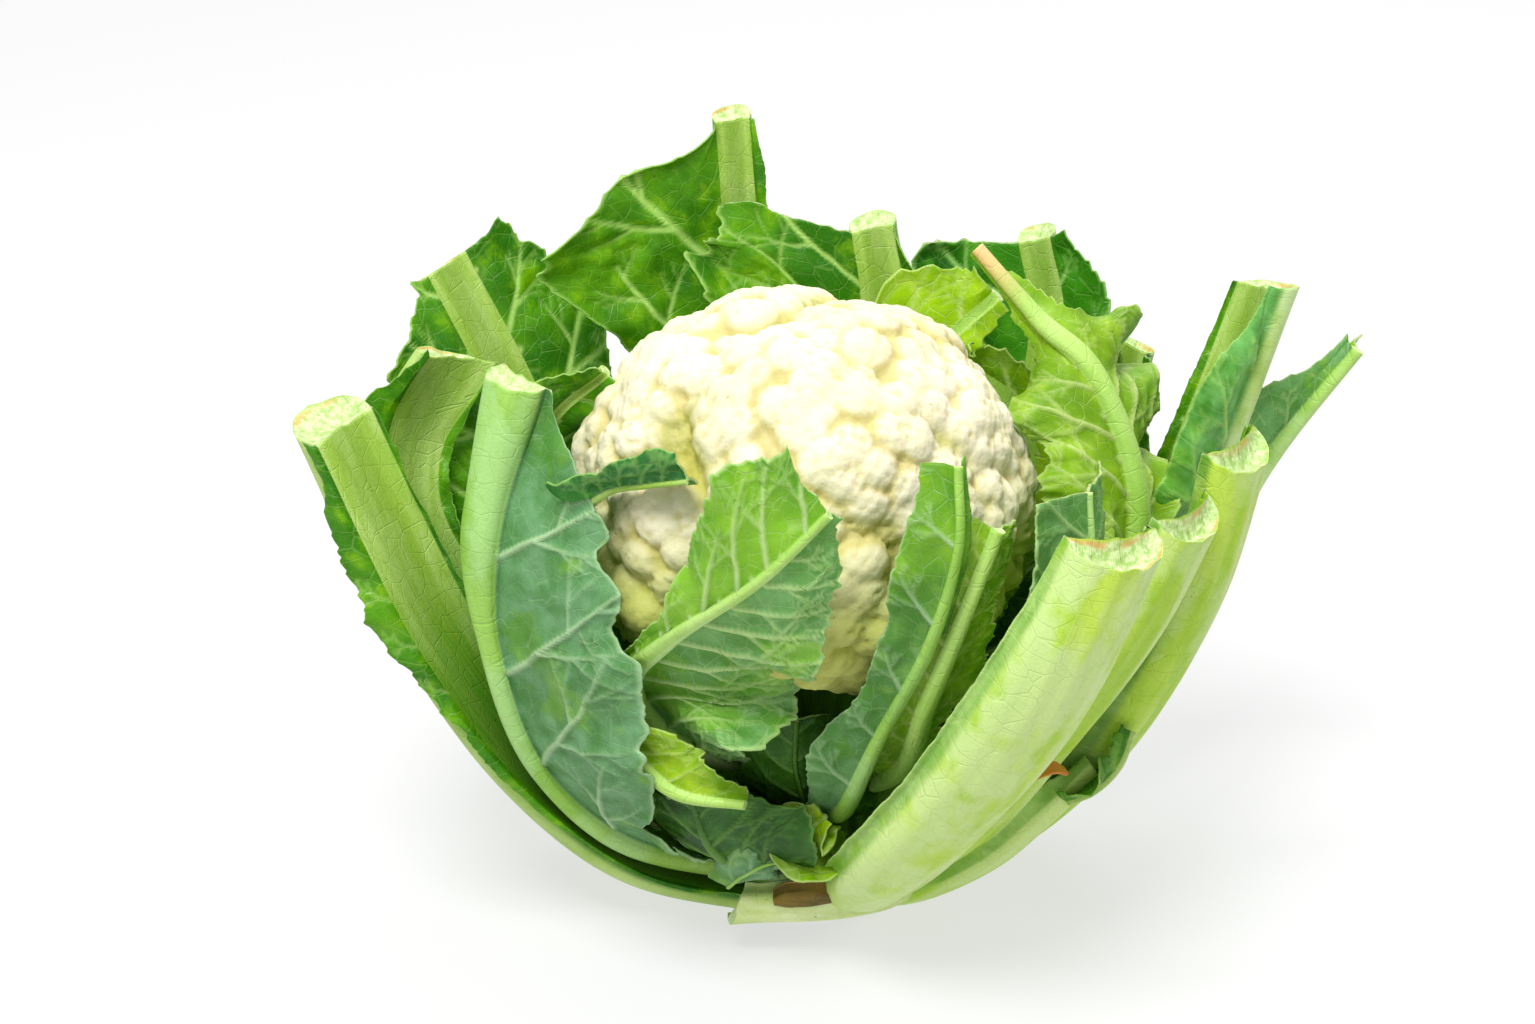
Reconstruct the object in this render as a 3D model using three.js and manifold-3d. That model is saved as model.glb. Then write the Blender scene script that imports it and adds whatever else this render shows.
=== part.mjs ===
// A fresh cauliflower with its wrapper leaves trimmed short: one curd on a thick stem, inside a basket of
// leaves that grow from the stem.
//
// Millimetres, +Z up. The origin is the centre of the stem's cut foot, which the plant stands on.
// -Y is the front of the plant and +X is its right.
//
// Each leaf is one closed solid, a stout rib along a midline curve with a thin blade on either side.
import * as THREE from 'three';
import { mergeVertices } from 'three/addons/utils/BufferGeometryUtils.js';
import Module from 'manifold-3d';

const wasm = await Module();
wasm.setup();

// ---- driving sizes ----

const GAP = 0.4; // air between neighbouring solids
const BLADE_THICKNESS = 1.8;

const CURD = {
  centre: [-3, 0, 150],
  radius: 72, // at its widest level
  rise: 68, // from its widest level to its top
  drop: 58, // from its widest level to its underside
  florets: 60,
  floretHeight: 5,
  segments: 36,
  rings: 22,
};

const STEM = {
  foot: 18, // radius of the flat spot that the plant stands on
  butt: 22.5, // just above the foot, whose edge is rounded
  waist: 27,
  neck: 21,
  buttLevel: 6,
  waistLevel: 34,
  top: 104,
  segments: 28,
};

const STATION_SPACING = 28; // between cross-sections along a leaf
const BLADE_STEPS = 2; // facets across a blade
const RIB_STEPS = 3; // facets across a rib
const TILT = [60, 15]; // upward turn of a rib's inner face, at its base and at its end, degrees

// ---- the leaves ----
//
// path: the middle of the rib's inner face, from inside the stem to the leaf's tip or trimmed end
// facing: compass bearing of the rib's inner face, at its base and at its end, degrees from +X
// rib, depth: width and thickness of the rib, at even steps from base to end
// left, right: width of the blade on each side of the rib, at even steps from base to end
// curlLeft, curlRight: turn of each blade towards the inner face, at the rib and at its edge, degrees
// lift: how far each blade reaches on past its place on the rib, as a share of its width
// The order is that of cutting: a leaf gives way where it meets one listed before it.

const LEAVES = {
  leaf_front_right: {
    colour: '#c3e07e', roughness: 0.42,
    path: [[8, -18, 22], [19, -42, 38], [37, -64, 72], [58, -78, 110], [75, -86, 147], [87, -87, 179]],
    facing: [122, 118], rib: [22, 38, 41, 32], depth: [10, 12, 10],
    left: [1, 2, 2, 2, 2, 1], right: [1, 3, 3, 3, 2, 1],
    curlLeft: [30, 90], curlRight: [10, 30], lift: [0.1, 0.1],
  },
  leaf_outer_left: {
    colour: '#a6c95a', roughness: 0.45,
    path: [[-16, -2, 14], [-58, -10, 30], [-90, -16, 64], [-116, -17, 106], [-134, -12, 144],
      [-149, -4, 177]],
    facing: [-20, -45], rib: [34, 30, 28, 25], depth: [10, 11, 12],
    left: [1, 1, 2, 6, 8, 2], right: [2, 3, 4, 3, 2, 1],
    curlLeft: [-50, -60], curlRight: [20, 40], lift: [0.25, 0.25],
  },
  leaf_front_left: {
    colour: '#82a886', roughness: 0.6,
    path: [[-14, -9, 24], [-56, -22, 36], [-86, -31, 68], [-99, -35, 110], [-101, -32, 152],
      [-89, -20, 201]],
    facing: [50, 46], rib: [16, 8, 6, 6, 13, 20], depth: [8, 5, 3.5, 4, 7, 9],
    left: [4, 30, 50, 56, 40, 2], right: [2, 4, 5, 4, 2, 1],
    curlLeft: [-5, 18], curlRight: [0, 0], lift: [0.1, 0.1],
  },
  leaf_front_small: {
    colour: '#8fc45a', roughness: 0.5,
    path: [[-12, -16, 60], [-42, -38, 84], [-56, -52, 112], [-44, -72, 137], [-17, -89, 165],
      [4, -93, 189]],
    facing: [55, 95], rib: [10, 7, 6, 3, 2], depth: [4, 3, 2, 1.5],
    left: [4, 16, 34, 44, 44, 36, 22, 6], right: [2, 2, 2, 2, 2, 2, 4, 13, 25, 31, 24],
    curlLeft: [-22, 2], curlRight: [5, 15], lift: [0.2, 0.3],
  },
  leaf_front_middle: {
    colour: '#4f8f3c', roughness: 0.5,
    path: [[5, -18, 50], [10, -48, 64], [20, -67, 100], [34, -80, 138], [42, -84, 172], [42, -78, 196]],
    facing: [115, 95], rib: [8, 4, 2], depth: [3, 2, 1.2],
    left: [2, 3, 4, 4, 4, 2], right: [2, 8, 16, 10, 13, 17, 10],
    curlLeft: [0, 20], curlRight: [5, 20], lift: [0.1, 0.1],
  },
  leaf_left: {
    colour: '#aad26a', roughness: 0.45,
    path: [[-18, 7, 20], [-70, 16, 48], [-108, 22, 92], [-130, 30, 126], [-132, 42, 152], [-116, 50, 178]],
    facing: [-10, -50], rib: [30, 26, 22, 24], depth: [10, 11, 12],
    left: [2, 4, 6, 20, 16, 2], right: [2, 6, 9, 6, 3, 1],
    curlLeft: [-10, -20], curlRight: [20, 60], lift: [0.25, 0.25],
  },
  leaf_rear_left: {
    colour: '#7dab3a', roughness: 0.45,
    path: [[-12, 12, 28], [-52, 44, 50], [-84, 66, 102], [-101, 78, 152], [-124, 88, 198]],
    facing: [-45, -45], rib: [28, 24, 19], depth: [10, 9, 9],
    left: [2, 6, 14, 34, 36, 8], right: [2, 8, 22, 34, 34, 14],
    curlLeft: [0, 0], curlRight: [15, 25], lift: [0.25, 0.25],
  },
  leaf_tall_back: {
    colour: '#4d8f22', roughness: 0.45,
    path: [[-4, 17, 30], [-14, 58, 62], [-20, 88, 120], [-22, 98, 186], [-24, 102, 216], [-26, 105, 244]],
    facing: [-88, -86], rib: [26, 20, 13, 12], depth: [9, 7, 6],
    left: [2, 4, 8, 12, 16, 20, 24, 44, 72, 44, 2], right: [2, 6, 10, 12, 12, 10, 8, 6, 5, 4, 2],
    curlLeft: [5, 12], curlRight: [5, 10], lift: [0.1, 0.1],
  },
  leaf_young_right: {
    colour: '#b4dc60', roughness: 0.5,
    path: [[15, 6, 48], [56, 8, 62], [92, -2, 108], [103, 0, 147], [90, 14, 186], [70, 26, 205],
      [53, 34, 223]],
    facing: [165, 135], rib: [16, 13, 10, 7, 3], depth: [6, 5, 3],
    left: [2, 3, 4, 6, 16, 32, 30, 6, 1], right: [2, 6, 12, 22, 30, 32, 28, 4, 1],
    curlLeft: [0, 20], curlRight: [0, 25], lift: [0.3, 0.2],
  },
  leaf_right_bottom: {
    colour: '#a8cc6e', roughness: 0.45,
    path: [[13, -12, 12], [36, -24, 21], [58, -26, 33], [76, -25, 49], [92, -22, 64]],
    facing: [150, 150], rib: [22, 22, 14], depth: [4, 3, 3],
    left: [2, 6, 8, 6, 2], right: [2, 6, 8, 6, 2],
    curlLeft: [20, 60], curlRight: [20, 60], lift: [0.25, 0.25],
  },
  leaf_right: {
    colour: '#8dbb48', roughness: 0.45,
    path: [[18, 6, 20], [66, 22, 38], [104, 36, 84], [130, 44, 150], [149, 57, 202]],
    facing: [200, 196], rib: [30, 26, 26], depth: [10, 10, 9],
    left: [2, 4, 5, 4, 3, 1], right: [2, 12, 20, 24, 24, 4],
    curlLeft: [20, 60], curlRight: [20, 115], lift: [0.25, 0.25],
  },
  leaf_right_middle: {
    colour: '#a2cc52', roughness: 0.45,
    path: [[18, -3, 16], [58, -6, 32], [88, -8, 60], [107, -12, 92], [122, -15, 130], [132, -16, 178]],
    facing: [165, 142], rib: [28, 27, 29], depth: [9, 9, 8],
    left: [2, 5, 6, 5, 3, 1], right: [2, 5, 6, 5, 3, 1],
    curlLeft: [20, 60], curlRight: [20, 60], lift: [0.25, 0.25],
  },
  leaf_right_lower: {
    colour: '#98c05a', roughness: 0.45,
    path: [[16, -10, 24], [46, -27, 45], [74, -37, 86], [98, -46, 130], [114, -46, 168]],
    facing: [152, 140], rib: [28, 27, 29], depth: [9, 8, 7],
    left: [2, 5, 6, 5, 3, 1], right: [2, 5, 6, 5, 3, 1],
    curlLeft: [20, 60], curlRight: [20, 60], lift: [0.25, 0.25],
  },
  leaf_back_right: {
    colour: '#437f1f', roughness: 0.45,
    path: [[4, 17, 34], [16, 56, 62], [26, 82, 122], [26, 88, 180], [22, 93, 209]],
    facing: [-90, -96], rib: [26, 20, 15], depth: [9, 8, 7],
    left: [2, 18, 40, 50, 52, 44], right: [2, 10, 14, 16, 12, 2],
    curlLeft: [5, 12], curlRight: [5, 50], lift: [0.55, 0.1],
  },
  leaf_rear_right: {
    colour: '#4c8a3e', roughness: 0.45,
    path: [[11, 14, 30], [46, 56, 48], [74, 86, 110], [84, 100, 168], [79, 106, 200]],
    facing: [-122, -112], rib: [26, 18, 12], depth: [9, 8, 7],
    left: [2, 18, 30, 42, 48, 38], right: [2, 18, 26, 26, 24, 8],
    curlLeft: [5, 20], curlRight: [5, 20], lift: [0.25, 0.25],
  },
  leaf_young_top: {
    colour: '#b9e22e', roughness: 0.5,
    path: [[11, 9, 52], [50, 34, 82], [72, 44, 126], [70, 46, 160], [46, 52, 180], [62, 52, 200]],
    facing: [-150, -105], rib: [18, 12, 8, 4], depth: [6, 3, 2.5],
    left: [2, 4, 6, 8, 10, 24, 32, 26, 10], right: [2, 3, 4, 6, 8, 10, 12, 10, 5],
    curlLeft: [0, 25], curlRight: [10, 20], lift: [0.1, 0.1],
  },
  leaf_outer_right: {
    colour: '#7ba672', roughness: 0.6,
    path: [[18, 11, 14], [74, 40, 28], [122, 56, 76], [152, 62, 132], [184, 62, 178]],
    facing: [200, 125], rib: [26, 15, 3], depth: [9, 7, 3],
    left: [2, 12, 20, 27, 25, 3], right: [2, 12, 20, 27, 23, 3],
    curlLeft: [10, 30], curlRight: [10, 30], lift: [0.25, 0.25],
  },
  leaf_inner_right: {
    colour: '#8cb96e', roughness: 0.55,
    path: [[15, -10, 50], [48, -36, 76], [72, -54, 120], [82, -62, 156], [82, -60, 180]],
    facing: [140, 140], rib: [16, 6, 1.2], depth: [6, 3, 1],
    left: [2, 8, 16, 22, 24, 22], right: [2, 8, 14, 22, 25, 23],
    curlLeft: [10, 30], curlRight: [0, 10], lift: [0.1, 0.1],
  },
  leaf_young_front: {
    colour: '#bedc5a', roughness: 0.5,
    path: [[11, -16, 56], [28, -52, 82], [34, -71, 114], [44, -76, 146], [54, -73, 174]],
    facing: [120, 110], rib: [9, 6, 4], depth: [5, 3, 2],
    left: [2, 6, 9, 12, 12, 8], right: [2, 5, 7, 9, 9, 6],
    curlLeft: [0, 20], curlRight: [0, 20], lift: [0.25, 0.25],
  },
  leaf_front_low: {
    colour: '#88c020', roughness: 0.5,
    path: [[-10, -17, 44], [-44, -38, 70], [-57, -56, 90], [-42, -66, 80], [-20, -72, 79]],
    facing: [60, 90], rib: [10, 6, 5, 2], depth: [4, 3, 2],
    left: [1, 2, 2, 2, 2, 1], right: [2, 4, 8, 14, 14, 2],
    curlLeft: [0, 20], curlRight: [10, 20], lift: [0.25, 0.25],
  },
  leaf_front_bottom: {
    colour: '#4e721c', roughness: 0.5,
    path: [[-6, -19, 26], [-20, -38, 34], [-32, -50, 50], [-38, -58, 72]],
    facing: [60, 80], rib: [8, 3, 1], depth: [2, 1, 0.6],
    left: [4, 24, 34, 30, 8], right: [4, 20, 30, 28, 8],
    curlLeft: [5, 35], curlRight: [5, 35], lift: [0.25, 0.25],
  },
  leaf_stub: {
    colour: '#dceac0', roughness: 0.5,
    path: [[24, -8, 20], [30, -26, 22], [8, -37, 22], [-25, -37, 19]],
    facing: [100, 90], rib: [16, 18, 15, 13], depth: [4, 4, 3],
    left: [1, 2, 2, 1], right: [1, 3, 3, 1],
    curlLeft: [0, 10], curlRight: [0, 10], lift: [0, 0],
  },
  leaf_inner_left: {
    colour: '#a9d05c', roughness: 0.5,
    path: [[-14, 3, 58], [-46, 10, 72], [-80, 14, 106], [-90, 14, 142], [-84, 10, 172], [-66, 8, 190]],
    facing: [-15, -60], rib: [16, 12, 6, 3], depth: [5, 4, 2.5],
    left: [2, 10, 18, 22, 20, 6], right: [2, 10, 18, 24, 22, 6],
    curlLeft: [5, 25], curlRight: [5, 25], lift: [0.2, 0.2],
  },
  leaf_inner_back_left: {
    colour: '#a9d05c', roughness: 0.5,
    path: [[-7, 14, 58], [-26, 42, 72], [-42, 66, 106], [-46, 72, 140], [-42, 70, 168]],
    facing: [-60, -62], rib: [16, 12, 5], depth: [5, 4, 2.5],
    left: [2, 10, 18, 22, 18, 5], right: [2, 10, 18, 22, 18, 5],
    curlLeft: [5, 30], curlRight: [5, 30], lift: [0.2, 0.2],
  },
  leaf_inner_back_right: {
    colour: '#a9d05c', roughness: 0.5,
    path: [[5, 14, 60], [14, 46, 74], [22, 72, 106], [24, 79, 140], [20, 76, 166]],
    facing: [-105, -108], rib: [16, 12, 5], depth: [5, 4, 2.5],
    left: [2, 10, 18, 22, 18, 5], right: [2, 10, 18, 22, 18, 5],
    curlLeft: [5, 30], curlRight: [5, 30], lift: [0.2, 0.2],
  },
  leaf_hidden_left: {
    colour: '#93bf4e', roughness: 0.45,
    path: [[-5, 18, 14], [-22, 64, 32], [-36, 104, 68], [-42, 124, 115], [-44, 134, 165]],
    facing: [-80, -80], rib: [34, 28, 24], depth: [10, 11, 11],
    left: [2, 8, 12, 12, 8, 2], right: [2, 8, 12, 12, 8, 2],
    curlLeft: [10, 40], curlRight: [10, 40], lift: [0.25, 0.25],
  },
  leaf_hidden_right: {
    colour: '#93bf4e', roughness: 0.45,
    path: [[11, 15, 16], [46, 52, 36], [78, 72, 74], [98, 78, 112], [106, 80, 142], [112, 82, 170]],
    facing: [-140, -130], rib: [32, 22, 12], depth: [10, 8, 6],
    left: [2, 8, 10, 8, 10, 12, 4], right: [2, 8, 10, 8, 12, 16, 6],
    curlLeft: [10, 40], curlRight: [10, 40], lift: [0.25, 0.25],
  },
};

// ---- helpers ----

const radians = THREE.MathUtils.degToRad;
const { lerp, smoothstep } = THREE.MathUtils;

// The value at t from 0 to 1 of a list spaced evenly, eased between its entries.
function along(values, t) {
  const last = values.length - 1;
  const index = Math.min(Math.floor(t * last), last - 1);
  return lerp(values[index], values[index + 1], smoothstep(t * last - index, 0, 1));
}

// A closed solid from the coordinates of its points, one after another, and its triangles.
function solid(coordinates, triangles) {
  const vertProperties = new Float32Array(coordinates);
  const triVerts = new Uint32Array(triangles);
  return new wasm.Manifold(new wasm.Mesh({ numProp: 3, vertProperties, triVerts }));
}

// A closed three.js geometry as a solid.
function solidFrom(geometry) {
  geometry.deleteAttribute('normal');
  geometry.deleteAttribute('uv');
  const merged = mergeVertices(geometry, 1e-3);
  return solid(merged.attributes.position.array, merged.index.array);
}

function geometryFrom(body) {
  const { numProp, vertProperties, triVerts } = body.getMesh();
  const positions = new Float32Array((vertProperties.length / numProp) * 3);
  for (let i = 0; i < positions.length / 3; i += 1) {
    for (let axis = 0; axis < 3; axis += 1) positions[3 * i + axis] = vertProperties[numProp * i + axis];
  }
  const geometry = new THREE.BufferGeometry();
  geometry.setAttribute('position', new THREE.BufferAttribute(positions, 3));
  geometry.setIndex(new THREE.BufferAttribute(new Uint32Array(triVerts), 1));
  return geometry;
}

function largestPart(body) {
  return body.decompose().reduce((a, b) => (b.volume() > a.volume() ? b : a));
}

// ---- leaf ----

// How far a blade has gone outwards and towards the inner face at share q of its width, when its slope
// turns evenly from the first angle to the second.
function curled([start, end], q) {
  const from = radians(start);
  const turn = radians(end - start);
  if (Math.abs(turn) < 1e-6) return { out: q * Math.cos(from), up: q * Math.sin(from) };
  const to = from + turn * q;
  return { out: (Math.sin(to) - Math.sin(from)) / turn, up: (Math.cos(from) - Math.cos(to)) / turn };
}

// Which way is out of a row of points at index k: -1 at its start, 1 at its end and 0 between.
function outward(k, last) {
  return k === 0 ? -1 : Number(k === last);
}

// The inner face of a leaf's cross-section, from its left edge to its right edge. Each point has its
// offset across the rib, towards the inner face and along the rib, and the leaf's thickness there.
function innerFace(leaf, t) {
  const halfRib = along(leaf.rib, t) / 2;
  const ramp = Math.min(1, 3 * t);
  const blade = (side, widths, curl, lift, q) => {
    const width = along(widths, t);
    const { out, up } = curled(curl, q);
    const across = side * (halfRib + width * out);
    return { across, up: width * up, on: ramp * lift * width * q, thick: BLADE_THICKNESS };
  };
  const points = [];
  for (let k = BLADE_STEPS; k > 0; k -= 1) {
    points.push(blade(-1, leaf.left, leaf.curlLeft, leaf.lift[0], k / BLADE_STEPS));
  }
  for (let k = 0; k <= RIB_STEPS; k += 1) {
    const r = (2 * k) / RIB_STEPS - 1;
    const thick = BLADE_THICKNESS + along(leaf.depth, t) * Math.sqrt(1 - r * r);
    points.push({ across: halfRib * r, up: 0, on: 0, thick });
  }
  for (let k = 1; k <= BLADE_STEPS; k += 1) {
    points.push(blade(1, leaf.right, leaf.curlRight, leaf.lift[1], k / BLADE_STEPS));
  }
  return points;
}

// The leaf as a solid, grown by a margin on every side.
function leafSolid(leaf, grow) {
  const route = leaf.path.map((p) => new THREE.Vector3(...p));
  const curve = new THREE.CatmullRomCurve3(route, false, 'catmullrom');
  const spans = Math.round(curve.getLength() / STATION_SPACING);
  const points = [];
  for (let i = 0; i <= spans; i += 1) {
    const t = i / spans;
    const tangent = curve.getTangentAt(t);
    const bearing = radians(lerp(...leaf.facing, t));
    const tilt = radians(lerp(...TILT, t));
    const flat = Math.cos(tilt);
    const normal = new THREE.Vector3(Math.cos(bearing) * flat, Math.sin(bearing) * flat, Math.sin(tilt));
    normal.addScaledVector(tangent, -normal.dot(tangent)).normalize();
    const sideways = new THREE.Vector3().crossVectors(tangent, normal);
    const endwise = outward(i, spans) * grow;
    const place = (across, up, on) => curve.getPointAt(t).addScaledVector(sideways, across)
      .addScaledVector(normal, up).addScaledVector(tangent, on + endwise);

    const face = innerFace(leaf, t);
    const inner = [];
    const outer = [];
    face.forEach((point, k) => {
      const before = face[Math.max(k - 1, 0)];
      const after = face[Math.min(k + 1, face.length - 1)];
      const run = new THREE.Vector2(after.across - before.across, after.up - before.up).normalize();
      const edge = outward(k, face.length - 1) * grow;
      const at = (offset) => place(
        point.across + edge * run.x - offset * run.y,
        point.up + edge * run.y + offset * run.x,
        point.on,
      );
      inner.push(at(grow));
      outer.push(at(-point.thick - grow));
    });
    points.push(...inner, ...outer.reverse());
  }
  return solid(points.flatMap((p) => p.toArray()), ringTriangles(spans, points.length / (spans + 1)));
}

// Triangles of a tube of rings with flat ends. A ring runs along one face of the section and back.
function ringTriangles(spans, ring) {
  const triangles = [];
  const quad = (a, b, c, d) => triangles.push(a, b, c, a, c, d);
  for (let i = 0; i < spans; i += 1) {
    for (let k = 0; k < ring; k += 1) {
      const next = (k + 1) % ring;
      quad(i * ring + k, i * ring + next, (i + 1) * ring + next, (i + 1) * ring + k);
    }
  }
  const end = spans * ring;
  for (let k = 0; k < ring / 2 - 1; k += 1) {
    const opposite = ring - 1 - k;
    quad(k, opposite, opposite - 1, k + 1);
    quad(end + k, end + k + 1, end + opposite - 1, end + opposite);
  }
  return triangles;
}

// ---- stem and curd ----

function stemSolid(grow) {
  const { foot, butt, waist, neck, buttLevel, waistLevel, top, segments } = STEM;
  const outline = [
    [0, -grow], [foot + grow, -grow], [butt + grow, buttLevel], [waist + grow, waistLevel],
    [neck + grow, (waistLevel + top) / 2], [neck + grow, top + grow], [0, top + grow],
  ].map(([radius, level]) => new THREE.Vector2(radius, level));
  return solidFrom(new THREE.LatheGeometry(outline, segments).rotateX(Math.PI / 2));
}

// Florets sit on the curd in the spiral of a sunflower head, each a low dome.
function floretDirections() {
  const turn = Math.PI * (3 - Math.sqrt(5));
  return Array.from({ length: CURD.florets }, (_, k) => {
    const up = 1 - (2 * k + 1) / CURD.florets;
    return new THREE.Vector3().setFromCylindricalCoords(Math.sqrt(1 - up * up), k * turn, up);
  });
}

function curdSolid(grow) {
  const { centre, radius, rise, drop, florets, floretHeight, segments, rings } = CURD;
  const directions = floretDirections();
  const reach = 2.2 / Math.sqrt(florets);
  const geometry = new THREE.SphereGeometry(1, segments, rings);
  const { position } = geometry.attributes;
  const direction = new THREE.Vector3();
  for (let i = 0; i < position.count; i += 1) {
    direction.fromBufferAttribute(position, i);
    const nearest = Math.min(...directions.map((d) => d.angleTo(direction)));
    const bump = floretHeight * Math.sqrt(Math.max(0, 1 - (nearest / reach) ** 2));
    const height = direction.y > 0 ? rise : drop;
    const size = new THREE.Vector3(radius, height, radius).addScalar(bump + grow - floretHeight);
    direction.multiply(size);
    position.setXYZ(i, direction.x, direction.y, direction.z);
  }
  return solidFrom(geometry.rotateX(Math.PI / 2).translate(...centre));
}

// ---- the plant ----

const plant = new THREE.Group();

function addPiece(name, body, colour, roughness) {
  const material = new THREE.MeshStandardMaterial({ color: colour, roughness, metalness: 0 });
  material.flatShading = true;
  const mesh = new THREE.Mesh(geometryFrom(body), material);
  mesh.name = name;
  plant.add(mesh);
}

addPiece('stem', stemSolid(0), '#c9dc96', 0.55);
addPiece('curd', curdSolid(0).subtract(stemSolid(GAP)), '#f5f1d8', 0.7);

let taken = stemSolid(GAP).add(curdSolid(GAP));
for (const [name, leaf] of Object.entries(LEAVES)) {
  const body = largestPart(leafSolid(leaf, 0).subtract(taken));
  addPiece(name, body, leaf.colour, leaf.roughness);
  taken = taken.add(leafSolid(leaf, GAP));
}

export default plant;
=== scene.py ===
"""A cauliflower with trimmed wrapper leaves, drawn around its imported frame.

The curd, the stem and every leaf are fine meshes made here by formula. They lie where the frame's plain
solids lie, so a leaf's outline below is the same as that of its solid, in millimetres.
"""
import math
import bpy
import numpy as np
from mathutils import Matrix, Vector, kdtree


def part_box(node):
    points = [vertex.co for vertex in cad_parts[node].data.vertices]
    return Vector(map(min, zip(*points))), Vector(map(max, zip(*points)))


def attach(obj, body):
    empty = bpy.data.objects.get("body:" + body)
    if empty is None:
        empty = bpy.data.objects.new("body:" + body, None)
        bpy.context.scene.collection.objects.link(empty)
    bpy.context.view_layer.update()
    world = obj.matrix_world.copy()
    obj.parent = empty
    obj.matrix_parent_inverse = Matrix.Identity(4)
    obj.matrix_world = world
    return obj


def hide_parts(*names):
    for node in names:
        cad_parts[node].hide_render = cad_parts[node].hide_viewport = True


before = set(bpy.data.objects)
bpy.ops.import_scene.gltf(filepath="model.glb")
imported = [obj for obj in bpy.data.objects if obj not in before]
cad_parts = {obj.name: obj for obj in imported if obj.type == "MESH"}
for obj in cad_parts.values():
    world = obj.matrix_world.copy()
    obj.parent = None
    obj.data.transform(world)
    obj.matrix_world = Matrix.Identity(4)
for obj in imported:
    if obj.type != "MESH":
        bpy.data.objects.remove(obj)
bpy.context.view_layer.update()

MM = 0.001
SPACING = 0.95  # between the points of a leaf's mesh, mm
CURD_SUBDIVISIONS = 7

# ---- the leaves ----
#
# path: the middle of the rib's inner face, from inside the stem to the tip or the trimmed end
# facing: compass bearing of the rib's inner face, at its base and at its end, degrees from +X
# rib, depth: width and thickness of the rib, at even steps from base to end
# left, right: width of the blade on each side of the rib, at even steps from base to end
# curl: turn of the left and right blade towards the inner face, at the rib and at its edge, degrees
# lift: how far each blade reaches on past its place on the rib, as a share of its width
# look: which of the leaf materials it has
# bloom: how waxy the outer face is from base to tip, left and right of the rib
# ruffle: how far the blade's edge waves, degrees, and the length of a wave
# fray: how uneven the blade's edge is, and the depth of its teeth
# cut: slope of the trimmed end across the rib, how hollow its face is, and its slope through the rib
# veins: distance between side veins and the width of one, none if the distance is 0
# tears: notches in a blade, as (side, place along, share of its width, half-width of the notch)
# dry: the share of its length beyond which the rib has dried, never if it is more than 1

TILT = (60, 15)  # upward turn of a rib's inner face, at its base and at its end, degrees
CHANNEL = 0.1  # depth of the groove along a rib's inner face, as a share of the rib's width

# What a leaf has where it says nothing else. Its right blade is as wide as its left.
PLAIN_LEAF = dict(lift=(0.25, 0.25), cut=(0, 0, 0), veins=(0, 0), tears=(), dry=2)


def even(wax):
    """The bloom of a leaf that is as waxy all over."""
    return (wax, wax), (wax, wax)


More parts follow.
